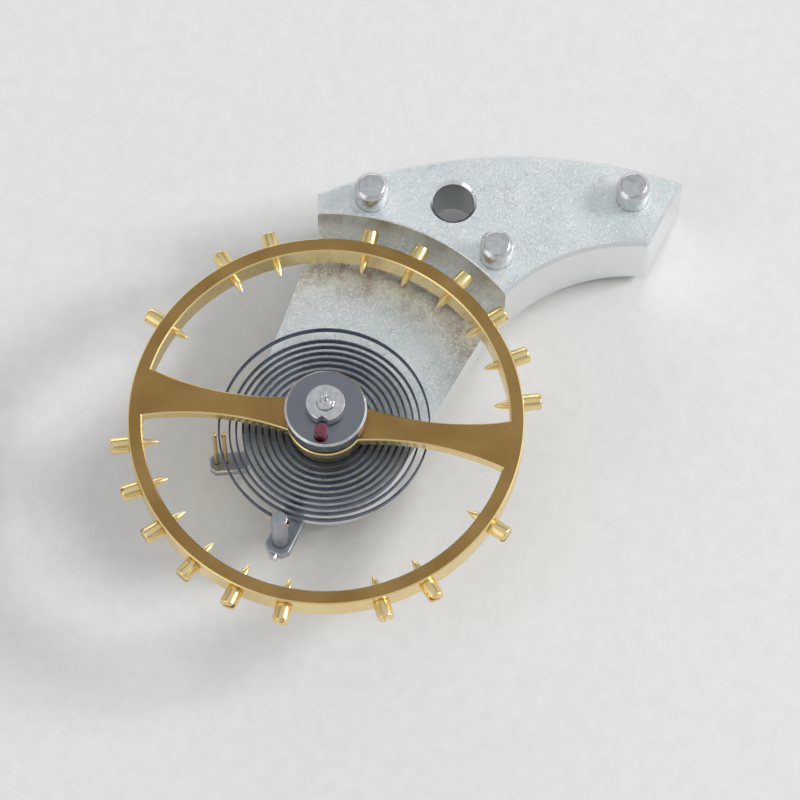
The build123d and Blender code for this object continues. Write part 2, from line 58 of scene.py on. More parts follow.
view_centre = Vector((1.75, 0.55, -1.6)) * MM
view_width = 19.0 * MM
sheet_slope = Vector((0.0696, 0.0523, 0))
sheet_size = 900 * MM

camera_data = bpy.data.cameras.new("camera")
camera_data.sensor_width = 36
camera_data.lens = camera_data.sensor_width * view_distance / view_width
camera_data.clip_start = 5 * MM
camera_data.clip_end = 5000 * MM
camera = bpy.data.objects.new("camera", camera_data)
towards_camera = Vector((0, -math.cos(view_elevation), math.sin(view_elevation)))
camera.location = view_centre + towards_camera * view_distance
camera.rotation_euler = (math.pi / 2 - view_elevation, 0, 0)
bpy.context.collection.objects.link(camera)
bpy.context.scene.camera = camera
bpy.context.scene.view_settings.view_transform = "Standard"

sheet_level = math.inf
for solid in [piece for piece in bpy.data.objects if piece.type == "MESH"]:
    for corner in solid.data.vertices:
        spot = solid.matrix_world @ corner.co
        sheet_level = min(sheet_level, spot.z - sheet_slope.dot(spot))
sheet_corners = []
for x, y in ((-1, -1), (1, -1), (1, 1), (-1, 1)):
    spot = Vector((x, y, 0)) * sheet_size
    spot.z = sheet_level + sheet_slope.dot(spot)
    sheet_corners.append(spot)
sheet_mesh = bpy.data.meshes.new("sheet")
sheet_mesh.from_pydata(sheet_corners, [], [(0, 1, 2, 3)])
sheet = bpy.data.objects.new("sheet", sheet_mesh)
bpy.context.collection.objects.link(sheet)

for lamp_name, place, width, depth, power in (
    ("window", (312, 42, 198), 132, 90, 1.1),
    ("fill", (-240, -150, 210), 270, 270, 0.18),
    ("rear", (-45, 345, 120), 270, 75, 0.18),
):
    lamp = bpy.data.lights.new(lamp_name, "AREA")
    lamp.shape = "RECTANGLE"
    lamp.size = width * MM
    lamp.size_y = depth * MM
    lamp.energy = power
    lamp_object = bpy.data.objects.new(lamp_name, lamp)
    lamp_object.location = Vector(place) * MM
    aim = lamp_object.location - view_centre
    lamp_object.rotation_euler = aim.to_track_quat("Z", "Y").to_euler()
    bpy.context.collection.objects.link(lamp_object)


class Tone:
    """A number or colour in a node tree; sums and products of it add the nodes they need."""

    def __init__(self, tree, socket=None):
        self.tree = tree
        self.socket = socket

    def node(self, kind, settings, sockets, output=0):
        made = self.tree.nodes.new(kind)
        for key, value in settings.items():
            if key == "stops":
                elements = made.color_ramp.elements
                while len(elements) < len(value):
                    elements.new(0.5)
                for element, (position, colour) in zip(elements, value):
                    element.position = position
                    element.color = (*colour, 1)
            else:
                setattr(made, key, value)
        for key, value in sockets.items():
            if isinstance(value, Tone):
                self.tree.links.new(value.socket, made.inputs[key])
            else:
                made.inputs[key].default_value = value
        return Tone(self.tree, made.outputs[output])

    def sum(self, operation, first, second):
        return self.node("ShaderNodeMath", {"operation": operation}, {0: first, 1: second})

    def __add__(self, other):
        return self.sum("ADD", self, other)

    def __rsub__(self, other):
        return self.sum("SUBTRACT", other, self)

    def __mul__(self, other):
        return self.sum("MULTIPLY", self, other)

    __radd__ = __add__
    __rmul__ = __mul__

    def place(self, turn=0.0, stretch=(1, 1, 1)):
        """The piece's own coordinates in millimetres, turned and stretched."""
        own = self.node("ShaderNodeTexCoord", {}, {}, "Object")
        moved = self.node(
            "ShaderNodeMapping",
            {"vector_type": "TEXTURE"},
            {"Vector": own, "Rotation": (0, 0, turn), "Scale": (MM, MM, MM)},
        )
        return self.node(
            "ShaderNodeVectorMath", {"operation": "MULTIPLY"}, {0: moved, 1: stretch}
        )

    def noise(self, where, scale, detail=3.0, roughness=0.5):
        return self.node(
            "ShaderNodeTexNoise",
            {},
            {"Vector": where, "Scale": scale, "Detail": detail, "Roughness": roughness},
        )

    def spread(self, low, high):
        """This number taken from low..high to 0..1 and held there."""
        return self.node(
            "ShaderNodeMapRange", {}, {"Value": self, "From Min": low, "From Max": high}
        )

    def mix(self, factor, first, second):
        return self.node(
            "ShaderNodeMix", {"data_type": "RGBA"}, {0: factor, 6: first, 7: second}, 2
        )

    def bump(self, strength, depth):
        """The normal of a surface raised by this number, to a depth in millimetres."""
        return self.node(
            "ShaderNodeBump", {}, {"Height": self, "Strength": strength, "Distance": depth * MM}
        )


def new_material(name):
    """An empty material and a Tone that starts sums in its tree."""
    material = bpy.data.materials.new(name)
    material.use_nodes = True
    return material, Tone(material.node_tree)


def finish_material(material, sockets):
    """Sets or links the named sockets of the material's shader."""
    shader = material.node_tree.nodes["Principled BSDF"]
    for key, value in sockets.items():
        if isinstance(value, Tone):
            material.node_tree.links.new(value.socket, shader.inputs[key])
        else:
            shader.inputs[key].default_value = value
    return material


def pale_paper():
    """Pale uncoated paper, left out where it is met from below."""
    material, start = new_material("pale_paper")
    fibre = start.noise(start.place(), 3.0, 5.0).spread(0.3, 0.7)
    below = start.node("ShaderNodeNewGeometry", {}, {}, "Backfacing")
    return finish_material(
        material,
        {
            "Base Color": start.mix(fibre, (0.76, 0.755, 0.745, 1), (0.80, 0.795, 0.785, 1)),
            "Roughness": 0.9,
            "Specular IOR Level": 0.2,
            "Alpha": 1 - below,
        },
    )


sheet_mesh.materials.append(pale_paper())

world = bpy.data.worlds.new("daylight")
world.use_nodes = True
bpy.context.scene.world = world
sky = Tone(world.node_tree)
direction = sky.node("ShaderNodeTexCoord", {}, {}, "Generated")
height = sky.node("ShaderNodeSeparateXYZ", {}, {"Vector": direction}, "Z")
daylight = sky.node(
    "ShaderNodeValToRGB",
    {
        "stops": [
            (0.0, (0.80, 0.79, 0.78)),
            (0.72, (0.93, 0.94, 0.95)),
            (0.80, (0.34, 0.36, 0.40)),
            (0.88, (0.42, 0.44, 0.48)),
            (0.94, (0.96, 0.99, 1.0)),
        ]
    },
    {"Fac": height * 0.5 + 0.5},
)
backdrop = world.node_tree.nodes["Background"]
world.node_tree.links.new(daylight.socket, backdrop.inputs["Color"])
backdrop.inputs["Strength"].default_value = 0.67


# Balance cock. A flat nickel plated plate, frosted on the side that faces the movement,
# with its edges bevelled and polished. The arc for the balance is milled into it, with
# a shallow second step, and its wall is left bright from the cutter.
def polar(radius, degrees):
    """The point of the plan at this distance and direction from the balance axis."""
    turn = math.radians(degrees)
    return (radius * math.cos(turn), radius * math.sin(turn))


def arc(centre, radius, start, end, count):
    """Points along an arc from one direction to another, both ends included."""
    points = []
    for number in range(count + 1):
        x, y = polar(radius, start + (end - start) * number / count)
        points.append((centre[0] + x, centre[1] + y))
    return points


def circle(radius, centre=(0, 0), count=96):
    """Points round a circle, anticlockwise."""
    return arc(centre, radius, 0, 360, count)[:-1]


def bearing(centre, point):
    """The direction of a point from a centre, in degrees."""
    return math.degrees(math.atan2(point[1] - centre[1], point[0] - centre[0]))


sharp_corner_limit_share = 0.3


def inset(loop, distance):
    """A closed loop of points moved to its left side, square to its lines."""
    moved = []
    for before, here, after in zip(loop[-1:] + loop[:-1], loop, loop[1:] + loop[:1]):
        first = (Vector(here) - Vector(before)).normalized()
        second = (Vector(after) - Vector(here)).normalized()
        across = Vector((-first.y - second.y, first.x + second.x)).normalized()
        reach = distance / max(sharp_corner_limit_share, across.dot(Vector((-first.y, first.x))))
        moved.append(tuple(Vector(here) + across * reach))
    return moved


def ring(builder, points, level):
    """Corners at one level, in the order of the points."""
    return [builder.verts.new((x, y, level)) for x, y in points]


def wall(builder, lower, upper, finish=0):
    """The faces between two closed rings with as many corners."""
    for number in range(len(lower)):
        following = (number + 1) % len(lower)
        corners = (lower[number], lower[following], upper[following], upper[number])
        builder.faces.new(corners).material_index = finish


def cap(builder, rings, finish=0):
    """The flat face that the first ring bounds and the others pierce."""
    edges = []
    for corners in rings:
        for first, second in zip(corners, corners[1:] + corners[:1]):
            edges.append(builder.edges.get((first, second)) or builder.edges.new((first, second)))
    made = bmesh.ops.triangle_fill(builder, edges=edges, use_beauty=True)
    for face in made["geom"]:
        if isinstance(face, bmesh.types.BMFace):
            face.material_index = finish


hole_bevel = 0.01


def plate(builder, outline, holes, low, high, bevel, finishes=(0, 1, 1)):
    """A plate with bevelled edges and holes; its face, bevel and wall have a finish each."""
    face_finish, bevel_finish, wall_finish = finishes
    bottoms = []
    tops = []
    for number, loop in enumerate([outline] + holes):
        points = loop[::-1] if number else loop
        width = hole_bevel if number else bevel
        inner = inset(points, width)
        rings = [
            ring(builder, inner, low),
            ring(builder, points, low + width),
            ring(builder, points, high - width),
            ring(builder, inner, high),
        ]
        wall(builder, rings[0], rings[1], bevel_finish)
        wall(builder, rings[1], rings[2], wall_finish)
        wall(builder, rings[2], rings[3], bevel_finish)
        bottoms.append(rings[0])
        tops.append(rings[3])
    cap(builder, bottoms, face_finish)
    cap(builder, tops, face_finish)


on_axis = 1e-6


def lathe(builder, profile, place=(0, 0), count=96, tube=False, finish=0):
    """Turns points of radius and level about an upright line at a place of the plan."""
    rings = []
    for radius, level in profile:
        if radius < on_axis:
            rings.append(ring(builder, [place], level))
        else:
            rings.append(ring(builder, circle(radius, place, count), level))
    pairs = list(zip(rings, rings[1:]))
    if tube:
        pairs.append((rings[-1], rings[0]))
    for first, second in pairs:
        for number in range(count):
            following = (number + 1) % count
            corners = (
                first[number % len(first)],
                first[following % len(first)],
                second[following % len(second)],
                second[number % len(second)],
            )
            face = builder.faces.new(tuple(dict.fromkeys(corners)))
            face.material_index = finish


soften_limit_share = 0.45


def soften(profile, radius):
    """An open run of points with its inner corners rounded."""
    softened = [profile[0]]
    for before, here, after in zip(profile, profile[1:], profile[2:]):
        corner = Vector(here)
        back_side = Vector(before) - corner
        front_side = Vector(after) - corner
        start = corner + back_side * min(soften_limit_share, radius / back_side.length)
        end = corner + front_side * min(soften_limit_share, radius / front_side.length)
        for share in (0, 0.25, 0.5, 0.75, 1):
            bent = start * (1 - share) ** 2 + corner * 2 * share * (1 - share) + end * share**2
            softened.append(tuple(bent))
    softened.append(profile[-1])
    return softened


crease_angle = math.radians(20)


def add_mesh(name, builder, materials):
    """An object at the origin from a mesh in millimetres, with its sharp edges marked."""
    bmesh.ops.recalc_face_normals(builder, faces=builder.faces)
    mesh = bpy.data.meshes.new(name)
    builder.to_mesh(mesh)
    builder.free()
    mesh.transform(Matrix.Scale(MM, 4))
    mesh.shade_smooth()
    mesh.set_sharp_from_angle(angle=crease_angle)
    for material in materials:
        mesh.materials.append(material)
    made = bpy.data.objects.new(name, mesh)
    bpy.context.collection.objects.link(made)
    return made


def bake_modifiers(piece):
    """Turns a piece and its modifiers into a plain mesh with its sharp edges marked."""
    evaluated = piece.evaluated_get(bpy.context.evaluated_depsgraph_get())
    mesh = bpy.data.meshes.new_from_object(evaluated)
    piece.modifiers.clear()
    piece.data = mesh
    mesh.name = piece.name
    mesh.shade_smooth()
    mesh.set_sharp_from_angle(angle=crease_angle)


def cut(piece, builder):
    """Takes the solids of a mesh in millimetres away from a piece."""
    tool = add_mesh("cutter", builder, list(piece.data.materials))
    milling = piece.modifiers.new("milling", "BOOLEAN")
    milling.operation = "DIFFERENCE"
    milling.solver = "EXACT"
    milling.object = tool
    bake_modifiers(piece)
    bpy.data.objects.remove(tool)


def fit(piece, node, body):
    """Puts a piece in the place of its CAD node, on its body."""
    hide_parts(node)
    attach(piece, body)


def extent(node):
    """A CAD node's lowest and highest corner in millimetres."""
    low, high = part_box(node)
    return low / MM, high / MM


def frosted_nickel():
    """Nickel plate with a fine matt grain, white painted glints in its colour, and a reddish
    brown painted shadow of the rim beside the milled step.
    """
    material, start = new_material("frosted_nickel")
    where = start.place()
    grain = start.noise(where, 20.0, 2.0)
    cloud = start.noise(where, 0.7, 4.0).spread(0.35, 0.65)
    stain = start.noise(where, 1.9, 5.0, 0.65).spread(0.56, 0.74)
    painted_glint = start.noise(where, 19.0, 1.0).spread(0.56, 0.63)
    pit = start.noise(where, 9.0, 2.0, 0.7).spread(0.60, 0.70)
    flat = start.node("ShaderNodeVectorMath", {"operation": "MULTIPLY"}, {0: where, 1: (1, 1, 0)})
    radius = start.node("ShaderNodeVectorMath", {"operation": "LENGTH"}, {0: flat}, "Value")
    level = start.node("ShaderNodeSeparateXYZ", {}, {"Vector": where}, "Z")
    inner_fade = radius.spread(3.2, 4.3)
    outer_fade = radius.spread(5.34, 4.9)
    milled_side = level.spread(-3.0, -2.7)
    beside_step = inner_fade * outer_fade * milled_side
    # Painted shadow: a reddish brown band of shade beside the milled step, where the rim's shadow
    # falls, tinted like a reflection.
    painted_rim_shadow = beside_step * start.noise(where, 2.3, 5.0, 0.7).spread(0.42, 0.62)
    colour = start.mix(cloud, (0.75, 0.81, 0.82, 1), (0.87, 0.91, 0.91, 1))
    colour = start.mix(painted_rim_shadow * 0.75, colour, (0.42, 0.31, 0.29, 1))
    colour = start.mix(stain * 0.4 + pit * 0.35, colour, (0.44, 0.42, 0.40, 1))
    # Painted glints: white specks in the colour stand in for light caught by the frosted grain.
    colour = start.mix(painted_glint * 0.8, colour, (1.0, 1.0, 1.0, 1))
    return finish_material(
        material,
        {
            "Base Color": colour,
            "Metallic": 1.0,
            "Roughness": 0.42 + 0.2 * grain.spread(0.3, 0.7),
            "Normal": grain.bump(0.6, 0.014),
        },
    )


def bright_nickel():
    """Polished nickel with faint lines from the cutter."""
    material, start = new_material("bright_nickel")
    line = start.noise(start.place(stretch=(1, 1, 18)), 6.0, 2.0)
    return finish_material(
        material,
        {
            "Base Color": start.mix(line, (0.78, 0.81, 0.83, 1), (0.93, 0.94, 0.94, 1)),
            "Metallic": 1.0,
            "Roughness": 0.10 + 0.16 * line,
            "Normal": line.bump(0.15, 0.004),
        },
    )


cock_low, cock_high = extent("balance_cock")
wheel_low, wheel_high = extent("balance_wheel")
pin_low, pin_high = extent("steady_pin_left")
cock_bevel = 0.08
rim_radius = wheel_high.x
screw_head_length = 0.45
recess_gap = 0.20
recess_depth = 1.00
recess_radius = rim_radius + screw_head_length + recess_gap
recess_floor = cock_high.z - recess_depth
step_share = 0.822
step_radius = step_share * recess_radius
step_depth = 0.06
recess_bevel = 0.03
bush_bore = 0.624
screw_hole_radius = 0.50
screw_hole_bevel = 0.07
screw_recess_radius = 0.85
screw_recess_depth = 0.45
overrun = 0.5
pin_radius = (pin_high.x - pin_low.x) / 2
pin_shank_radius = 0.22
pin_sink = 0.06
pin_shoulder = cock_high.z - pin_sink
fit_gap = 0.004
pin_wall = 0.13
pin_ring = recess_radius + pin_wall + pin_radius
left_pin = polar(pin_ring, 79.6)
inner_pin = polar(pin_ring, 46.3)
right_pin = polar(1.751 * recess_radius, 38.2)
screw_hole = polar(1.202 * recess_radius, 61.8)
movement_centre = (0.843 * recess_radius, -0.899 * recess_radius)
side_centre = (1.376 * recess_radius, 0.041 * recess_radius)
outer_margin = 0.19
side_margin = 0.51
left_margin = 0.90
tip_margin = 0.40
movement_radius = math.dist(movement_centre, left_pin) + pin_radius + outer_margin
side_radius = math.dist(side_centre, inner_pin) - pin_radius - side_margin
end_slope = 62.8
stud_low, stud_high = extent("hairspring_stud")
stud_middle = ((stud_low.x + stud_high.x) / 2, (stud_low.y + stud_high.y) / 2)
stud_radius = (stud_high.x - stud_low.x) / 2
tip_radius = math.hypot(*stud_middle) - stud_radius - tip_margin


def ray_meets_circle(point, degrees, centre, radius):
    """Where a ray from a point of the plan first meets a circle."""
    along = Vector(polar(1, degrees))
    offset = Vector(point) - Vector(centre)
    half = offset.dot(along)
    reach = math.sqrt(half**2 - offset.length_squared + radius**2)
    run = min(run for run in (-half - reach, -half + reach) if run > 0)
    return tuple(Vector(point) + along * run)


left_x = left_pin[0] - pin_radius - left_margin
left_low = (left_x, math.sqrt(recess_radius**2 - left_x**2))
left_high = ray_meets_circle(left_low, 90, movement_centre, movement_radius)
end_offset = polar(pin_radius + side_margin, end_slope - 90)
end_point = (right_pin[0] + end_offset[0], right_pin[1] + end_offset[1])
right_high = ray_meets_circle(end_point, end_slope, movement_centre, movement_radius)
right_low = ray_meets_circle(end_point, end_slope + 180, side_centre, side_radius)
side_bearing = bearing((0, 0), side_centre)
side_lean = math.degrees(math.acos((side_radius + tip_radius) / math.hypot(*side_centre)))
left_lean = math.degrees(math.acos(tip_radius / math.hypot(*left_low)))
edge_start = bearing(movement_centre, right_high)
edge_end = bearing(movement_centre, left_high)
tip_start = bearing((0, 0), left_low) + left_lean
side_start = side_bearing - side_lean + 180
side_end = bearing(side_centre, right_low)
cock_outline = arc(movement_centre, movement_radius, edge_start, edge_end, 80)
cock_outline += [left_low]
cock_outline += arc((0, 0), tip_radius, tip_start, side_start + 180, 90)
cock_outline += arc(side_centre, side_radius, side_start, side_end, 60)

builder = bmesh.new()
plate(builder, cock_outline, [], cock_low.z, cock_high.z, cock_bevel)
cock = add_mesh("balance_cock_plate", builder, [frosted_nickel(), bright_nickel()])

above = cock_high.z + overrun
below = cock_low.z - overrun
builder = bmesh.new()
lathe(
    builder,
    [
        (0, below),
        (bush_bore, below),
        (bush_bore, recess_floor),
        (step_radius, recess_floor),
        (step_radius, recess_floor - step_depth),
        (recess_radius, recess_floor - step_depth),
        (recess_radius, cock_high.z - recess_bevel),
        (recess_radius + recess_bevel, cock_high.z),
        (recess_radius + recess_bevel, above),
        (0, above),
    ],
    count=240,
)
for face in builder.faces:
    face.normal_update()
    face.material_index = 1 if abs(face.normal.z) < 0.5 else 0
lathe(
    builder,
    [
        (0, below),
        (screw_recess_radius, below),
        (screw_recess_radius, cock_low.z + screw_recess_depth),
        (screw_hole_radius, cock_low.z + screw_recess_depth),
        (screw_hole_radius, cock_high.z - screw_hole_bevel),
        (screw_hole_radius + screw_hole_bevel, cock_high.z),
        (screw_hole_radius + screw_hole_bevel, above),
        (0, above),
    ],
    screw_hole,
    finish=1,
)
for place in (left_pin, inner_pin, right_pin):
    lathe(
        builder,
        [
            (0, pin_low.z),
            (pin_shank_radius + fit_gap, pin_low.z),
            (pin_shank_radius + fit_gap, pin_shoulder),
            (pin_radius + fit_gap, pin_shoulder),
            (pin_radius + fit_gap, above),
            (0, above),
        ],
        place,
        72,
        finish=1,
    )
cut(cock, builder)
fit(cock, "balance_cock", "cock")


# Steady pins. Hardened steel pins pressed into the foot, turned with a wide bevel at the
# free end and polished. Each finds its hole in the main plate when the cock is fitted.
def polished_steel():
    """Hardened steel, polished, with faint turning lines and light wear."""
    material, start = new_material("polished_steel")
    shade = 0.68
    wear = start.noise(start.place(), 7.0, 4.0).spread(0.3, 0.7)
    scratch = start.noise(start.place(stretch=(1, 1, 25)), 5.0, 2.0)
    dark = (shade * 0.80, shade * 0.82, shade * 0.86, 1)
    light = (shade * 1.12, shade * 1.12, shade * 1.12, 1)
    return finish_material(
        material,
        {
            "Base Color": start.mix(wear, dark, light),
            "Metallic": 1.0,
            "Roughness": 0.16 + 0.2 * scratch.spread(0.35, 0.75),
            "Normal": scratch.bump(0.2, 0.004),
        },
    )


steel = polished_steel()
pin_bevel = 0.10
pin_edge = 0.025
for node, place in (
    ("steady_pin_left", left_pin),
    ("steady_pin_inner", inner_pin),
    ("steady_pin_right", right_pin),
):
    builder = bmesh.new()
    profile = [
        (0, pin_high.z),
        (pin_radius - pin_bevel, pin_high.z),
        (pin_radius, pin_high.z - pin_bevel),
        (pin_radius, pin_shoulder),
        (pin_shank_radius, pin_shoulder),
        (pin_shank_radius, pin_low.z),
        (0, pin_low.z),
    ]
    lathe(builder, soften(profile, pin_edge), place, 72)
    fit(add_mesh(node + "_turned", builder, [steel]), node, "cock")


# Upper jewels. A brass bush pressed into the arm holds the ruby hole jewel, which has an
# oil cup towards the staff, and the cap jewel closes it from the far side.
def turned_brass():
    """Bright turned brass."""
    material, start = new_material("turned_brass")
    tone = start.noise(start.place(), 5.0, 3.0)
    return finish_material(
        material,
        {
            "Base Color": start.mix(tone, (0.66, 0.44, 0.13, 1), (0.86, 0.64, 0.27, 1)),
            "Metallic": 1.0,
            "Roughness": 0.16 + 0.12 * tone,
        },
    )


def ruby():
    """Synthetic ruby, clear dark red with a polished skin."""
    material, start = new_material("ruby")
    tone = start.noise(start.place(), 3.0, 2.0)
    return finish_material(
        material,
        {
            "Base Color": start.mix(tone, (0.16, 0.002, 0.02, 1), (0.28, 0.005, 0.05, 1)),
            "Roughness": 0.05 + 0.05 * tone,
            "IOR": 1.76,
            "Transmission Weight": 0.35,
            "Coat Weight": 0.25,
            "Coat Roughness": 0.03,
        },
    )


brass = turned_brass()
red = ruby()
bush_low, bush_high = extent("jewel_setting")
jewel_low, jewel_high = extent("hole_jewel")
cap_low, cap_high = extent("cap_jewel")
bush_radius = bush_high.x
jewel_radius = jewel_high.x
bush_mouth = 0.31
pivot_hole = 0.065
oil_cup_radius = 0.20
oil_cup_depth = 0.09
setting_bevel = 0.03
setting_edge = 0.015
cap_edge = 0.03
turned_edge = 0.02
seam = 0.01
profile = [
    (bush_mouth, bush_high.z - setting_bevel),
    (bush_mouth + setting_bevel, bush_high.z),
    (bush_radius, bush_high.z),
    (bush_radius, bush_low.z),
    (jewel_radius + fit_gap, bush_low.z),
    (jewel_radius + fit_gap, jewel_high.z + fit_gap),
    (bush_mouth, jewel_high.z + fit_gap),
    (bush_mouth, bush_high.z - setting_bevel - seam),
]
builder = bmesh.new()
lathe(builder, soften(profile, setting_edge), tube=True)
fit(add_mesh("jewel_setting_turned", builder, [brass]), "jewel_setting", "cock")

profile = [
    (pivot_hole, jewel_high.z - oil_cup_depth),
    (oil_cup_radius, jewel_high.z),
    (jewel_radius, jewel_high.z),
    (jewel_radius, jewel_low.z),
    (pivot_hole, jewel_low.z),
    (pivot_hole, jewel_high.z - oil_cup_depth - seam),
]
builder = bmesh.new()
lathe(builder, soften(profile, turned_edge), tube=True)
fit(add_mesh("hole_jewel_polished", builder, [red]), "hole_jewel", "cock")

profile = [(0, cap_high.z), (cap_high.x, cap_high.z), (cap_high.x, cap_low.z), (0, cap_low.z)]
builder = bmesh.new()
lathe(builder, soften(profile, cap_edge))
fit(add_mesh("cap_jewel_polished", builder, [red]), "cap_jewel", "cock")


# End piece. A lapped steel plate on top of the cock: it holds the cap jewel, and its
# flange keeps the stud holder and the regulator on their seat. Two slotted screws fix it.
def satin_steel():
    """Steel lapped to a fine even grain."""
    material, start = new_material("satin_steel")
    grain = start.noise(start.place(turn=0.5, stretch=(2, 46, 10)), 1.6, 4.0, 0.6)
    cloud = start.noise(start.place(), 1.5, 3.0).spread(0.3, 0.7)
    return finish_material(
        material,
        {
            "Base Color": start.mix(cloud, (0.34, 0.36, 0.39, 1), (0.48, 0.50, 0.53, 1)),
            "Metallic": 1.0,
            "Roughness": 0.26 + 0.2 * grain.spread(0.3, 0.7),
            "Normal": grain.bump(0.25, 0.006),
        },
    )


satin = satin_steel()
end_low, end_high = extent("end_piece")
core_radius = 1.15
flange_height = 0.18
flange_top = end_low.z + flange_height
window_radius = 0.28
window_bevel = 0.07
pocket_radius = cap_high.x + fit_gap
end_screw_head = 0.24
end_screw_thread = 0.13
end_screw_head_height = 0.12
end_screw_wall = 0.10
end_screw_direction = 160
end_screw_ring = core_radius - end_screw_wall - end_screw_head
end_screw_places = [polar(end_screw_ring, end_screw_direction + turn) for turn in (0, 180)]
profile = [
    (pocket_radius, end_high.z - seam),
    (pocket_radius + seam, end_high.z),
    (core_radius, end_high.z),
    (core_radius, flange_top),
    (end_high.x, flange_top),
    (end_high.x, end_low.z),
    (window_radius + window_bevel, end_low.z),
    (window_radius, end_low.z + window_bevel),
    (window_radius, cap_low.z),
    (pocket_radius, cap_low.z),
    (pocket_radius, end_high.z - 2 * seam),
]
builder = bmesh.new()
lathe(builder, soften(profile, turned_edge), count=120, tube=True)
end_piece = add_mesh("end_piece_turned", builder, [satin])
head_roof = end_low.z + end_screw_head_height
builder = bmesh.new()
for place in end_screw_places:
    profile = [
        (0, end_low.z - overrun),
        (end_screw_head + fit_gap, end_low.z - overrun),
        (end_screw_head + fit_gap, head_roof),
        (end_screw_thread + fit_gap, head_roof),
        (end_screw_thread + fit_gap, end_high.z + overrun),
        (0, end_high.z + overrun),
    ]
    lathe(builder, profile, place, 48)
cut(end_piece, builder)
fit(end_piece, "end_piece", "cock")

end_screw_low, end_screw_high = extent("end_piece_screws")
slot_width = 0.07
end_slot_turns = (0, 50)
builder = bmesh.new()
for place in end_screw_places:
    profile = [
        (0, end_screw_low.z),
        (end_screw_head, end_screw_low.z),
        (end_screw_head, head_roof),
        (end_screw_thread, head_roof),
        (end_screw_thread, end_screw_high.z),
        (0, end_screw_high.z),
    ]
    lathe(builder, soften(profile, turned_edge), place, 48)
end_screws = add_mesh("end_piece_screws_turned", builder, [steel])
builder = bmesh.new()
for place, turn in zip(end_screw_places, end_slot_turns):
    middle = Matrix.Translation((*place, end_screw_low.z))
    turned = Matrix.Rotation(math.radians(turn), 4, "Z")
    size = Matrix.Diagonal((3 * end_screw_head, slot_width, 2 * slot_width, 1))
    bmesh.ops.create_cube(builder, size=1, matrix=middle @ turned @ size)
cut(end_screws, builder)
fit(end_screws, "end_piece_screws", "cock")


# Stud holder, stud, stud screw and stud pin. A steel ring held under the end piece by
# friction, with one arm past the tip of the cock. Its end clamps the steel stud with a
# small screw, and a brass wedge holds the outer end of the hairspring in the stud.
def turn_plan(points, degrees):
    """Points of the plan turned about the balance axis."""
    turned = Matrix.Rotation(math.radians(degrees), 2)
    return [tuple(turned @ Vector(point)) for point in points]


arc_step = 4


def disc_with_arms(radius, arms):
    """A disc's outline with arms: each a direction and its side's points from the root out."""
    outline = []
    for number, (degrees, side) in enumerate(arms):
        half = math.degrees(math.asin(side[0][1] / radius))
        run = [polar(radius, half)] + side
        outline += turn_plan([(x, -y) for x, y in run] + run[::-1], degrees)
        following, next_side = arms[(number + 1) % len(arms)]
        next_half = math.degrees(math.asin(next_side[0][1] / radius))
        end = following - next_half + (360 if following <= degrees else 0)
        steps = int((end - degrees - half) / arc_step)
        outline += arc((0, 0), radius, degrees + half, end, steps)[1:-1]
    return outline


def lathe_level(builder, profile, start, level, degrees, count=24):
    """Turns points of radius and distance about a level line from a point of the plan."""
    part = bmesh.new()
    lathe(part, profile, count=count)
    lay = Matrix.Rotation(math.radians(degrees), 4, "Z") @ Matrix.Rotation(math.pi / 2, 4, "Y")
    part.transform(Matrix.Translation((*start, level)) @ lay)
    mesh = bpy.data.meshes.new("part")
    part.to_mesh(mesh)
    part.free()
    builder.from_mesh(mesh)
    bpy.data.meshes.remove(mesh)


rod_edge_share = 0.2


def rod(builder, radius, length, middle, level, degrees):
    """A level rod whose middle lies at a point of the plan, along a direction."""
    profile = [(0, -length / 2), (radius, -length / 2), (radius, length / 2), (0, length / 2)]
    lathe_level(builder, soften(profile, radius * rod_edge_share), middle, level, degrees)


holder_low, holder_high = extent("stud_holder")
spring_low, spring_high = extent("hairspring")
spring_middle = (spring_low.z + spring_high.z) / 2
spring_thickness = 0.04
spring_height = spring_high.z - spring_low.z
spring_play = 0.008
spring_hole = math.hypot(spring_thickness, spring_height) / 2 + spring_play
wedge_radius = (spring_hole - spring_thickness / 2) / 2 - fit_gap
wedge_offset = spring_thickness / 2 + wedge_radius + fit_gap
wedge_overhang = 0.06
ring_play = 0.02
ring_width = 0.55
ring_bore = core_radius + ring_play
ring_radius = ring_bore + ring_width
stud_direction = 245.0
stud_ring = math.hypot(*stud_middle)
holder_wall = 0.15
holder_half = 0.31
lapped_bevel = 0.03
holder_end = stud_ring + stud_radius + holder_wall
holder_side = [(holder_end - holder_wall, holder_half), (holder_end, holder_half - holder_wall)]
builder = bmesh.new()
plate(
    builder,
    disc_with_arms(ring_radius, [(stud_direction, holder_side)]),
    [circle(ring_bore), circle(stud_radius + fit_gap, stud_middle, 40)],
    holder_low.z,
    holder_high.z,
    lapped_bevel,
    finishes=(0, 0, 0),
)
holder = add_mesh("stud_holder_lapped", builder, [satin])
stud_screw_radius = 0.06
stud_screw_level = (holder_low.z + holder_high.z) / 2
bore_middle = polar(holder_end, stud_direction)
bore_length = 2 * (holder_wall + stud_radius)
bore_radius = stud_screw_radius + fit_gap
builder = bmesh.new()
rod(builder, bore_radius, bore_length, bore_middle, stud_screw_level, stud_direction)
cut(holder, builder)
fit(holder, "stud_holder", "stud_carrier")

profile = [
    (0, stud_high.z),
    (stud_radius, stud_high.z),
    (stud_radius, stud_low.z),
    (0, stud_low.z),
]
stud_edge = 0.035
builder = bmesh.new()
lathe(builder, soften(profile, stud_edge), stud_middle, 48)
stud = add_mesh("hairspring_stud_turned", builder, [satin])
spring_inset = 0.04
spring_outer = stud_ring - spring_inset
stud_across = stud_direction + 90
stud_hole_middle = polar(spring_outer, stud_direction)
builder = bmesh.new()
rod(builder, spring_hole, 5 * stud_radius, stud_hole_middle, spring_middle, stud_across)
cut(stud, builder)
fit(stud, "hairspring_stud", "stud_carrier")

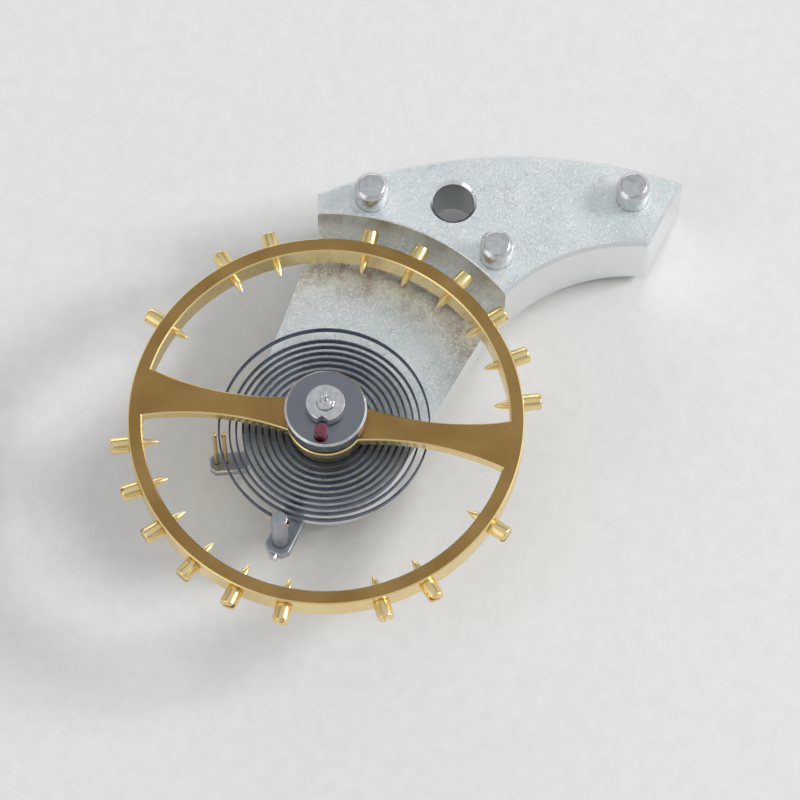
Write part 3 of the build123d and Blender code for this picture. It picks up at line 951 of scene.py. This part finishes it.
stud_head_radius = 0.11
stud_head_length = 0.12
stud_slot_depth = 0.07
stud_slot_width = 0.04
fine_edge = 0.012
profile = [
    (0, fit_gap - holder_wall),
    (stud_screw_radius, fit_gap - holder_wall),
    (stud_screw_radius, 0),
    (stud_head_radius, 0),
    (stud_head_radius, stud_head_length),
    (0, stud_head_length),
]
builder = bmesh.new()
lathe_level(builder, soften(profile, fine_edge), bore_middle, stud_screw_level, stud_direction)
stud_screw = add_mesh("stud_screw_turned", builder, [steel])
slot_middle = polar(holder_end + stud_head_length, stud_direction)
place = Matrix.Translation((*slot_middle, stud_screw_level))
turned = Matrix.Rotation(math.radians(stud_direction), 4, "Z")
size = Matrix.Diagonal((stud_slot_depth, stud_slot_width, 3 * stud_head_radius, 1))
builder = bmesh.new()
bmesh.ops.create_cube(builder, size=1, matrix=place @ turned @ size)
cut(stud_screw, builder)
fit(stud_screw, "stud_screw", "stud_carrier")

wedge_middle = polar(spring_outer + wedge_offset, stud_direction)
wedge_length = 2 * (stud_radius + wedge_overhang)
builder = bmesh.new()
rod(builder, wedge_radius, wedge_length, wedge_middle, spring_middle, stud_across)
fit(add_mesh("stud_pin_drawn", builder, [brass]), "stud_pin", "stud_carrier")


# Regulator and curb pins. A second steel ring over the stud holder, with a pointer for
# the watchmaker's tweezers and a short arm with two brass pins beside the outer turn.
regulator_low, regulator_high = extent("regulator")
curb_low, curb_high = extent("curb_pin_outer")
curb_direction = 185.0
pointer_direction = 76.0
pointer_length = 3.1
pointer_root_half = 0.30
pointer_tip_half = 0.07
pointer_end = ring_radius + pointer_length
curb_radius = 0.05
curb_gap = 0.04
curb_offset = spring_thickness / 2 + curb_gap + curb_radius
curb_wall = 0.12
curb_end = spring_outer + curb_offset + curb_radius + curb_wall
curb_half = 0.25
curb_side = [(curb_end - curb_wall, curb_half), (curb_end, curb_half - curb_wall)]
pointer_side = [(ring_radius, pointer_root_half), (pointer_end, pointer_tip_half)]
curb_places = [polar(spring_outer + side * curb_offset, curb_direction) for side in (-1, 1)]
builder = bmesh.new()
plate(
    builder,
    disc_with_arms(ring_radius, [(pointer_direction, pointer_side), (curb_direction, curb_side)]),
    [circle(ring_bore)] + [circle(curb_radius + fit_gap, place, 24) for place in curb_places],
    regulator_low.z,
    regulator_high.z,
    lapped_bevel,
    finishes=(0, 0, 0),
)
regulator = add_mesh("regulator_lapped", builder, [satin])
fit(regulator, "regulator", "regulator_lever")
profile = [
    (0, curb_high.z),
    (curb_radius, curb_high.z),
    (curb_radius, curb_low.z),
    (0, curb_low.z),
]
for node, place in zip(("curb_pin_inner", "curb_pin_outer"), curb_places):
    builder = bmesh.new()
    lathe(builder, soften(profile, turned_edge), place, 32)
    fit(add_mesh(node + "_drawn", builder, [brass]), node, "regulator_lever")


# Hairspring, collet and collet pin. One flat strip of dark blued alloy, wound in even
# turns with its last turn round the balance axis. A brass wedge holds its inner end in
# the split brass collet on the staff.
def blued_alloy():
    """Polished spring strip, blued almost black, with a faint change of tone on its way."""
    material, start = new_material("blued_alloy")
    tone = start.noise(start.place(), 2.2, 3.0).spread(0.3, 0.7)
    return finish_material(
        material,
        {
            "Base Color": start.mix(tone, (0.055, 0.065, 0.10, 1), (0.13, 0.15, 0.20, 1)),
            "Metallic": 1.0,
            "Roughness": 0.24 + 0.08 * tone,
        },
    )


collet_low, collet_high = extent("collet")
spring_pitch = 0.158
spring_half_turns = 21
strip_edge = 0.008
seat_radius = 0.19
collet_inner_wall = 0.05
collet_outer_wall = 0.03
tail_reach = 0.05
free_turn = 70
tail_radius = seat_radius + collet_inner_wall + spring_hole
collet_radius = tail_radius + spring_hole + collet_outer_wall
tail_end = math.sqrt(collet_radius**2 - tail_radius**2) + tail_reach
half_turn_steps = 48
spring_points = [(tail_radius, -tail_end), (tail_radius, 0), (tail_radius, tail_end)]
spring_turns = [0.0, 0.0, 0.0]
spring_arcs = [(tail_end, tail_radius, 0, 90)]
here = tail_end + tail_radius
for number in range(spring_half_turns):
    side = -1 if number % 2 else 1
    following = here + spring_pitch / 2
    spring_arcs.append((side * (here - following) / 2, (here + following) / 2, side * 90, 180))
    here = following
spring_arcs.append(((spring_outer - here) / 2, (spring_outer + here) / 2, -90, 180))
last_turn = stud_direction - 90 + math.degrees((stud_radius + tail_reach) / spring_outer)
spring_arcs.append((0, spring_outer, 90, last_turn))
for centre_height, radius, start, turn in spring_arcs:
    steps = round(half_turn_steps * turn / 180)
    spring_points += arc((0, centre_height), radius, start, start + turn, steps)[1:]
    spring_turns += [spring_turns[-1] + turn * (step + 1) / steps for step in range(steps)]

wound_turns = spring_turns[-1] - last_turn + free_turn
spring_line = bpy.data.meshes.new("hairspring_line")
spring_line.from_pydata(
    [(x * MM, y * MM, spring_middle * MM) for x, y in spring_points],
    [(number, number + 1) for number in range(len(spring_points) - 1)],
    [],
)
wound = spring_line.attributes.new("wound", "FLOAT", "POINT")
wound.data.foreach_set("value", [max(0.0, 1 - turn / wound_turns) for turn in spring_turns])
spring = bpy.data.objects.new("hairspring_wound", spring_line)
bpy.context.collection.objects.link(spring)


def new_tree(name, inputs):
    """A geometry tree with named inputs, as (tree, its input node, its output node)."""
    tree = bpy.data.node_groups.new(name, "GeometryNodeTree")
    tree.interface.new_socket("Geometry", in_out="INPUT", socket_type="NodeSocketGeometry")
    for label, kind in inputs:
        tree.interface.new_socket(label, in_out="INPUT", socket_type=kind)
    tree.interface.new_socket("Geometry", in_out="OUTPUT", socket_type="NodeSocketGeometry")
    return tree, tree.nodes.new("NodeGroupInput"), tree.nodes.new("NodeGroupOutput")


def join(tree, links):
    """Links of a tree, each as (node, its output, node, its input)."""
    for source, output, target, socket in links:
        tree.links.new(source.outputs[output], target.inputs[socket])


def apply_tree(piece, tree, values):
    """Runs a geometry tree on a piece with the values of its named inputs."""
    modifier = piece.modifiers.new(tree.name, "NODES")
    modifier.node_group = tree
    for item in tree.interface.items_tree:
        if item.in_out == "INPUT" and item.name in values:
            modifier[item.identifier] = values[item.name]
    bake_modifiers(piece)


tree, given, result = new_tree(
    "wound_strip",
    [
        ("Thickness", "NodeSocketFloat"),
        ("Height", "NodeSocketFloat"),
        ("Edge Radius", "NodeSocketFloat"),
        ("Finish", "NodeSocketMaterial"),
    ],
)
line = tree.nodes.new("GeometryNodeMeshToCurve")
upright = tree.nodes.new("GeometryNodeSetCurveNormal")
upright.mode = "Z_UP"
section = tree.nodes.new("GeometryNodeCurvePrimitiveQuadrilateral")
rounded = tree.nodes.new("GeometryNodeFilletCurve")
rounded.mode = "POLY"
rounded.inputs["Count"].default_value = 2
swept = tree.nodes.new("GeometryNodeCurveToMesh")
swept.inputs["Fill Caps"].default_value = True
realized = tree.nodes.new("GeometryNodeRealizeInstances")
finished = tree.nodes.new("GeometryNodeSetMaterial")
join(
    tree,
    [
        (given, "Geometry", line, "Mesh"),
        (line, "Curve", upright, "Curve"),
        (given, "Thickness", section, "Width"),
        (given, "Height", section, "Height"),
        (section, "Curve", rounded, "Curve"),
        (given, "Edge Radius", rounded, "Radius"),
        (upright, "Curve", swept, "Curve"),
        (rounded, "Curve", swept, "Profile Curve"),
        (swept, "Mesh", realized, "Geometry"),
        (realized, "Geometry", finished, "Geometry"),
        (given, "Finish", finished, "Material"),
        (finished, "Geometry", result, "Geometry"),
    ],
)
apply_tree(
    spring,
    tree,
    {
        "Thickness": spring_thickness * MM,
        "Height": spring_height * MM,
        "Edge Radius": strip_edge * MM,
        "Finish": blued_alloy(),
    },
)
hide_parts("hairspring")
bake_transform(spring)
weights = [0.0] * len(spring.data.vertices)
spring.data.attributes["wound"].data.foreach_get("value", weights)
spring.data.attributes.remove(spring.data.attributes["wound"])

profile = [
    (seat_radius + fit_gap, collet_high.z - seam),
    (seat_radius + fit_gap + seam, collet_high.z),
    (collet_radius, collet_high.z),
    (collet_radius, collet_low.z),
    (seat_radius + fit_gap, collet_low.z),
    (seat_radius + fit_gap, collet_high.z - 2 * seam),
]
builder = bmesh.new()
lathe(builder, soften(profile, turned_edge), tube=True)
collet = add_mesh("collet_turned", builder, [brass])
collet_slit = 0.07
slit_height = 1.0
slit_place = Matrix.Translation((-collet_radius, 0, spring_middle))
slit_size = Matrix.Diagonal((2 * collet_radius, collet_slit, slit_height, 1))
builder = bmesh.new()
rod(builder, spring_hole, 4 * collet_radius, (tail_radius, 0), spring_middle, 90)
bmesh.ops.create_cube(builder, size=1, matrix=slit_place @ slit_size)
cut(collet, builder)
fit(collet, "collet", "balance")

wedge_length = 2 * (collet_radius + wedge_overhang)
builder = bmesh.new()
rod(builder, wedge_radius, wedge_length, (tail_radius - wedge_offset, 0), spring_middle, 90)
fit(add_mesh("collet_pin_drawn", builder, [brass]), "collet_pin", "balance")


# Balance wheel. Rim and two flat arms in one piece of gilt brass. Its flat faces are
# grained along the arms and painted a darker brown gold as painted shade, and its edges and walls
# are turned bright.
arm_direction = -9.0


def satin_gilt():
    """Gilt brass with a fine grain along the arms, painted a darker brown than the bright gold as
    painted shade on the flat faces.
    """
    material, start = new_material("satin_gilt")
    along = start.place(turn=math.radians(arm_direction), stretch=(1.5, 30, 8))
    grain = start.noise(along, 2.2, 4.0, 0.6)
    cloud = start.noise(start.place(), 0.9, 4.0).spread(0.3, 0.7)
    return finish_material(
        material,
        {
            # Painted shade: the flat faces carry a darker brown gold than the bright gold walls.
            "Base Color": start.mix(cloud, (0.36, 0.215, 0.070, 1), (0.47, 0.295, 0.105, 1)),
            "Metallic": 1.0,
            "Roughness": 0.28 + 0.2 * grain.spread(0.3, 0.7),
            "Normal": grain.bump(0.3, 0.006),
        },
    )


def bright_gold():
    """Gold plate over turned brass, polished, a little uneven."""
    material, start = new_material("bright_gold")
    tone = start.noise(start.place(), 1.3, 2.0)
    return finish_material(
        material,
        {
            "Base Color": start.mix(tone, (0.84, 0.62, 0.25, 1), (0.97, 0.80, 0.43, 1)),
            "Metallic": 1.0,
            "Roughness": 0.20 + 0.14 * tone,
            "Normal": tone.bump(0.05, 0.006),
        },
    )


def circles_meet(first, first_radius, second, second_radius, side):
    """Where two circles of the plan cross, left (1) or right (-1) of the line between them."""
    gap = Vector(second) - Vector(first)
    along = (gap.length_squared + first_radius**2 - second_radius**2) / (2 * gap.length)
    across = math.sqrt(first_radius**2 - along**2)
    step = gap.normalized()
    return tuple(Vector(first) + step * along + Vector((-step.y, step.x)) * across * side)


def centre_through(first, middle, last):
    """The centre of the arc through three points of the plan."""
    ax, ay = Vector(middle) - Vector(first)
    bx, by = Vector(last) - Vector(first)
    a_squared = ax**2 + ay**2
    b_squared = bx**2 + by**2
    cross = 2 * (ax * by - ay * bx)
    x = (by * a_squared - ay * b_squared) / cross
    y = (ax * b_squared - bx * a_squared) / cross
    return (first[0] + x, first[1] + y)


gold = bright_gold()
rim_width = 0.34
rim_bevel = 0.03
rim_inner = rim_radius - rim_width
rim_steps = 80
arm_seat = 0.42
arm_thickness = 0.28
arm_waist_half = 0.30
arm_waist_share = 0.46
arm_root_half = 0.68
arm_under = wheel_high.z - arm_thickness
hub_corner = (0.84, 0.44)
waist = (hub_corner[0] + arm_waist_share * (rim_inner - hub_corner[0]), arm_waist_half)
arm_root = (rim_radius - rim_width / 2, arm_root_half)
hub_radius = math.hypot(*hub_corner)
side_middle = centre_through(hub_corner, waist, arm_root)
side_bend = math.dist(side_middle, hub_corner)
rim_corner = circles_meet((0, 0), rim_inner, side_middle, side_bend, -1)
rim_start = bearing((0, 0), rim_corner)
hub_start = bearing((0, 0), hub_corner)
bend_start = bearing(side_middle, hub_corner)
bend_end = bearing(side_middle, rim_corner)
right_side = arc(side_middle, side_bend, bend_start, bend_end, 20)
left_side = [(-x, y) for x, y in right_side][::-1]
window = arc((0, 0), rim_inner, rim_start, 180 - rim_start, rim_steps)[:-1]
window += left_side[:-1] + arc((0, 0), hub_radius, 180 - hub_start, hub_start, 16)[:-1]
window += right_side[:-1]
root = arc((0, 0), rim_inner, 180 - rim_start, 180 + rim_start, 12)[1:-1]

builder = bmesh.new()
outer = circle(rim_radius, count=192)
outer_rings = [
    ring(builder, inset(outer, rim_bevel), wheel_high.z),
    ring(builder, outer, wheel_high.z - rim_bevel),
    ring(builder, outer, wheel_low.z + rim_bevel),
    ring(builder, inset(outer, rim_bevel), wheel_low.z),
]
for upper, lower in zip(outer_rings, outer_rings[1:]):
    wall(builder, lower, upper, 1)
window_tops = []
inner_wall = []
under_sides = []
under_roots = []
for half in (0, 180):
    points = turn_plan(window, arm_direction + half)
    top = ring(builder, inset(points[::-1], rim_bevel)[::-1], wheel_high.z)
    edge = ring(builder, points, wheel_high.z - rim_bevel)
    wall(builder, edge, top, 1)
    window_tops.append(top)
    under = ring(builder, [points[0]] + points[rim_steps:], arm_under)
    rim_part = ring(builder, points[: rim_steps + 1], wheel_low.z + rim_bevel)
    for number in range(rim_steps):
        corners = [rim_part[number], rim_part[number + 1]]
        if number == rim_steps - 1:
            corners.append(under[1])
        corners += [edge[number + 1], edge[number]]
        if number == 0:
            corners.append(under[0])
        builder.faces.new(corners).material_index = 1
    side_edge = edge[rim_steps:] + edge[:1]
    side_under = under[1:] + under[:1]
    for number in range(len(side_edge) - 1):
        corners = side_under[number : number + 2] + side_edge[number : number + 2][::-1]
        builder.faces.new(corners).material_index = 1
    root_plan = turn_plan(root, arm_direction + half)
    inner_wall += rim_part + ring(builder, root_plan, wheel_low.z + rim_bevel)
    under_sides.append(side_under)
    under_roots.append(ring(builder, root_plan, arm_under))
widening = (rim_inner + rim_bevel) / rim_inner
widened = [tuple(corner.co.to_2d() * widening) for corner in inner_wall]
inner_bottom = ring(builder, widened, wheel_low.z)
wall(builder, inner_bottom, inner_wall, 1)
half_count = len(inner_wall) // 2
for number in (0, 1):
    run = [under_sides[number][0]] + under_roots[number] + [under_sides[1 - number][-1]]
    start = number * half_count + rim_steps
    lower = [inner_wall[(start + step) % len(inner_wall)] for step in range(len(run))]
    for step in range(len(run) - 1):
        corners = lower[step : step + 2] + run[step : step + 2][::-1]
        builder.faces.new(corners).material_index = 1
under_loop = under_sides[0] + under_roots[1][::-1] + under_sides[1] + under_roots[0][::-1]
bore = circle(arm_seat + fit_gap)
bore_under = ring(builder, bore, arm_under)
bore_top = ring(builder, bore, wheel_high.z)
wall(builder, bore_under, bore_top, 1)
cap(builder, [under_loop, bore_under])
cap(builder, [outer_rings[0], *window_tops, bore_top])
cap(builder, [outer_rings[3], inner_bottom], 1)
wheel = add_mesh("balance_wheel_gilt", builder, [satin_gilt(), gold])
fit(wheel, "balance_wheel", "balance")


# Timing screws. Eighteen gold screws round the rim, nine and nine alike so that the
# wheel is in poise: slotted heads outside, and threads with a leaf shaped point inside.
screw_head_radius = 0.20
screw_thread_radius = 0.10
screw_tip_radius = 0.015
screw_point_length = 0.28
screw_bevel = 0.04
screw_slot_depth = 0.09
screw_overhang = 0.08
taper_power = 1.6
taper_steps = 6
screw_inside = rim_width + screw_overhang
profile = [
    (0, screw_head_length),
    (screw_head_radius - screw_bevel, screw_head_length),
    (screw_head_radius, screw_head_length - screw_bevel),
    (screw_head_radius, 0),
    (screw_thread_radius, 0),
    (screw_thread_radius, -screw_inside),
]
profile = soften(profile, turned_edge)
for step in range(1, taper_steps + 1):
    share = step / taper_steps
    left_share = 1 - share**taper_power
    taper = screw_tip_radius + (screw_thread_radius - screw_tip_radius) * left_share
    profile.append((taper, -screw_inside - screw_point_length * share))
profile.append((0, -screw_inside - screw_point_length))
builder = bmesh.new()
lathe(builder, profile, count=36)
screw = add_mesh("timing_screw", builder, [gold])
slot_place = Matrix.Translation((0, 0, screw_head_length))
slot_size = Matrix.Diagonal((3 * screw_head_radius, slot_width, 2 * screw_slot_depth, 1))
builder = bmesh.new()
bmesh.ops.create_cube(builder, size=1, matrix=slot_place @ slot_size)
cut(screw, builder)
screw.data.transform(Matrix.Rotation(math.pi / 2, 4, "Y"))

screw_angles = [15.5, 29.6, 43.2, 58.0, 72.5, 87.2, 115.2, 129.6, 155.4]
slot_turn_step = 37.0
screw_level = (wheel_high.z + wheel_low.z) / 2
screw_turns = [arm_direction + half + angle for half in (0, 180) for angle in screw_angles]
screw_points = [Vector((*polar(rim_radius, turn), screw_level)) * MM for turn in screw_turns]
slot_turns = [number * slot_turn_step for number in range(len(screw_turns))]
places = bpy.data.meshes.new("timing_screw_places")
places.from_pydata(screw_points, [], [])
for label, values in (("turn", screw_turns), ("slot", slot_turns)):
    attribute = places.attributes.new(label, "FLOAT", "POINT")
    attribute.data.foreach_set("value", [math.radians(value) for value in values])
screws = bpy.data.objects.new("timing_screws_turned", places)
bpy.context.collection.objects.link(screws)

tree, given, result = new_tree(
    "screws_round_rim",
    [("Screw", "NodeSocketObject"), ("Finish", "NodeSocketMaterial")],
)
pattern = tree.nodes.new("GeometryNodeObjectInfo")
turn_reader = tree.nodes.new("GeometryNodeInputNamedAttribute")
turn_reader.inputs["Name"].default_value = "turn"
slot_reader = tree.nodes.new("GeometryNodeInputNamedAttribute")
slot_reader.inputs["Name"].default_value = "slot"
rotation = tree.nodes.new("ShaderNodeCombineXYZ")
placed = tree.nodes.new("GeometryNodeInstanceOnPoints")
realized = tree.nodes.new("GeometryNodeRealizeInstances")
finished = tree.nodes.new("GeometryNodeSetMaterial")
join(
    tree,
    [
        (given, "Screw", pattern, "Object"),
        (given, "Geometry", placed, "Points"),
        (pattern, "Geometry", placed, "Instance"),
        (slot_reader, "Attribute", rotation, "X"),
        (turn_reader, "Attribute", rotation, "Z"),
        (rotation, "Vector", placed, "Rotation"),
        (placed, "Instances", realized, "Geometry"),
        (realized, "Geometry", finished, "Geometry"),
        (given, "Finish", finished, "Material"),
        (finished, "Geometry", result, "Geometry"),
    ],
)
apply_tree(screws, tree, {"Screw": screw, "Finish": gold})
bpy.data.objects.remove(screw)
fit(screws, "timing_screws", "balance")


# Balance staff. One turned and polished steel arbor: a pivot at each end, the seat of the
# rollers, the hub that the arms are riveted to, and the seat of the collet.
staff_low, staff_high = extent("balance_staff")
roller_low, roller_high = extent("roller_table")
pivot_radius = 0.05
pivot_length = 0.26
cone_length = 0.10
cone_radius = 0.13
roller_seat = 0.21
rivet_spread = 0.06
rivet_height = 0.05
rivet_radius = arm_seat + rivet_spread
collet_gap = 0.04
upper_pivot_length = 0.32
upper_shank_radius = 0.14
upper_shoulder = staff_low.z + upper_pivot_length
upper_tip_bevel = 0.02
tip_rounding = 0.04
tip_shares = ((0, 0), (0.6, 0.075), (0.9, 0.375), (1, 1))
profile = [(pivot_radius * out, -tip_rounding * down) for out, down in tip_shares]
profile += [
    (pivot_radius, -pivot_length),
    (cone_radius * 0.7, -pivot_length - cone_length * 0.4),
    (cone_radius, -pivot_length - cone_length),
    (roller_seat, -pivot_length - cone_length),
    (roller_seat, roller_low.z),
    (staff_high.x, roller_low.z),
    (staff_high.x, wheel_high.z),
    (arm_seat, wheel_high.z),
    (arm_seat, arm_under),
    (rivet_radius, arm_under),
    (rivet_radius - rivet_height, arm_under - rivet_height),
    (seat_radius, arm_under - rivet_height),
    (seat_radius, collet_low.z - collet_gap),
    (upper_shank_radius, upper_shoulder + cone_length),
    (pivot_radius, upper_shoulder),
    (pivot_radius, staff_low.z + upper_tip_bevel),
    (pivot_radius - upper_tip_bevel, staff_low.z),
    (0, staff_low.z),
]
builder = bmesh.new()
lathe(builder, soften(profile, fine_edge))
staff = add_mesh("balance_staff_turned", builder, [steel])
fit(staff, "balance_staff", "balance")


# Rollers and impulse jewel. The roller table is a lapped steel disc with a polished edge,
# pressed on the staff. It carries the ruby impulse pin, which reaches up past the notch
# of the smaller safety roller into the fork of the escapement.
def lapped_roller():
    """Lapped steel, its colour darkened to a blue grey as a painted dark reflection."""
    material, start = new_material("lapped_roller")
    grain = start.noise(start.place(turn=0.9, stretch=(3, 40, 8)), 2.0, 4.0, 0.6)
    return finish_material(
        material,
        {
            # Painted reflection: the colour is darkened to a blue grey that stands in for a dark
            # reflection on the disc's face.
            "Base Color": start.mix(grain, (0.20, 0.215, 0.25, 1), (0.30, 0.31, 0.35, 1)),
            "Metallic": 1.0,
            "Roughness": 0.26 + 0.16 * grain,
            "Normal": grain.bump(0.2, 0.005),
        },
    )


impulse_direction = arm_direction - 90
impulse_radius = 0.15
impulse_flat_share = 0.36
impulse_wall = 0.105
roller_bevel = 0.05
impulse_flat = impulse_radius * (1 - impulse_flat_share)
roller_radius = (roller_high.x - roller_low.x) / 2
impulse_place = polar(roller_radius - impulse_wall - impulse_radius, impulse_direction)
builder = bmesh.new()
plate(
    builder,
    circle(roller_radius, count=128),
    [circle(roller_seat + fit_gap), circle(impulse_radius + fit_gap, impulse_place, 40)],
    roller_low.z,
    roller_high.z,
    roller_bevel,
)
table = add_mesh("roller_table_lapped", builder, [lapped_roller(), steel])
fit(table, "roller_table", "balance")

safety_low, safety_high = extent("safety_roller")
safety_radius = 0.46
safety_bevel = 0.02
notch_radius = 0.13
notch_depth = 0.10
notch_middle = polar(safety_radius + notch_radius - notch_depth, impulse_direction)
notch_corners = [
    circles_meet((0, 0), safety_radius, notch_middle, notch_radius, side) for side in (1, -1)
]
disc_start, disc_end = [bearing((0, 0), corner) for corner in notch_corners]
notch_end, notch_start = [bearing(notch_middle, corner) for corner in notch_corners]
notch_turn = (notch_start - notch_end) % 360
safety_outline = arc((0, 0), safety_radius, disc_start, disc_end + 360, 90)
safety_outline += arc(
    notch_middle, notch_radius, notch_start, notch_start - notch_turn, 20
)[1:-1]
builder = bmesh.new()
plate(
    builder,
    safety_outline,
    [circle(roller_seat + fit_gap)],
    safety_low.z,
    safety_high.z,
    safety_bevel,
)
safety = add_mesh("safety_roller_polished", builder, [steel, steel])
fit(safety, "safety_roller", "balance")

impulse_low, impulse_high = extent("impulse_jewel")
impulse_bevel = 0.015
flat_half = math.degrees(math.acos(impulse_flat / impulse_radius))
impulse_outline = arc((0, 0), impulse_radius, flat_half, 360 - flat_half, 40)
impulse_outline = [
    (x + impulse_place[0], y + impulse_place[1])
    for x, y in turn_plan(impulse_outline, impulse_direction)
]
builder = bmesh.new()
plate(
    builder,
    impulse_outline,
    [],
    impulse_low.z,
    impulse_high.z,
    impulse_bevel,
    finishes=(0, 0, 0),
)
fit(add_mesh("impulse_jewel_polished", builder, [red]), "impulse_jewel", "balance")
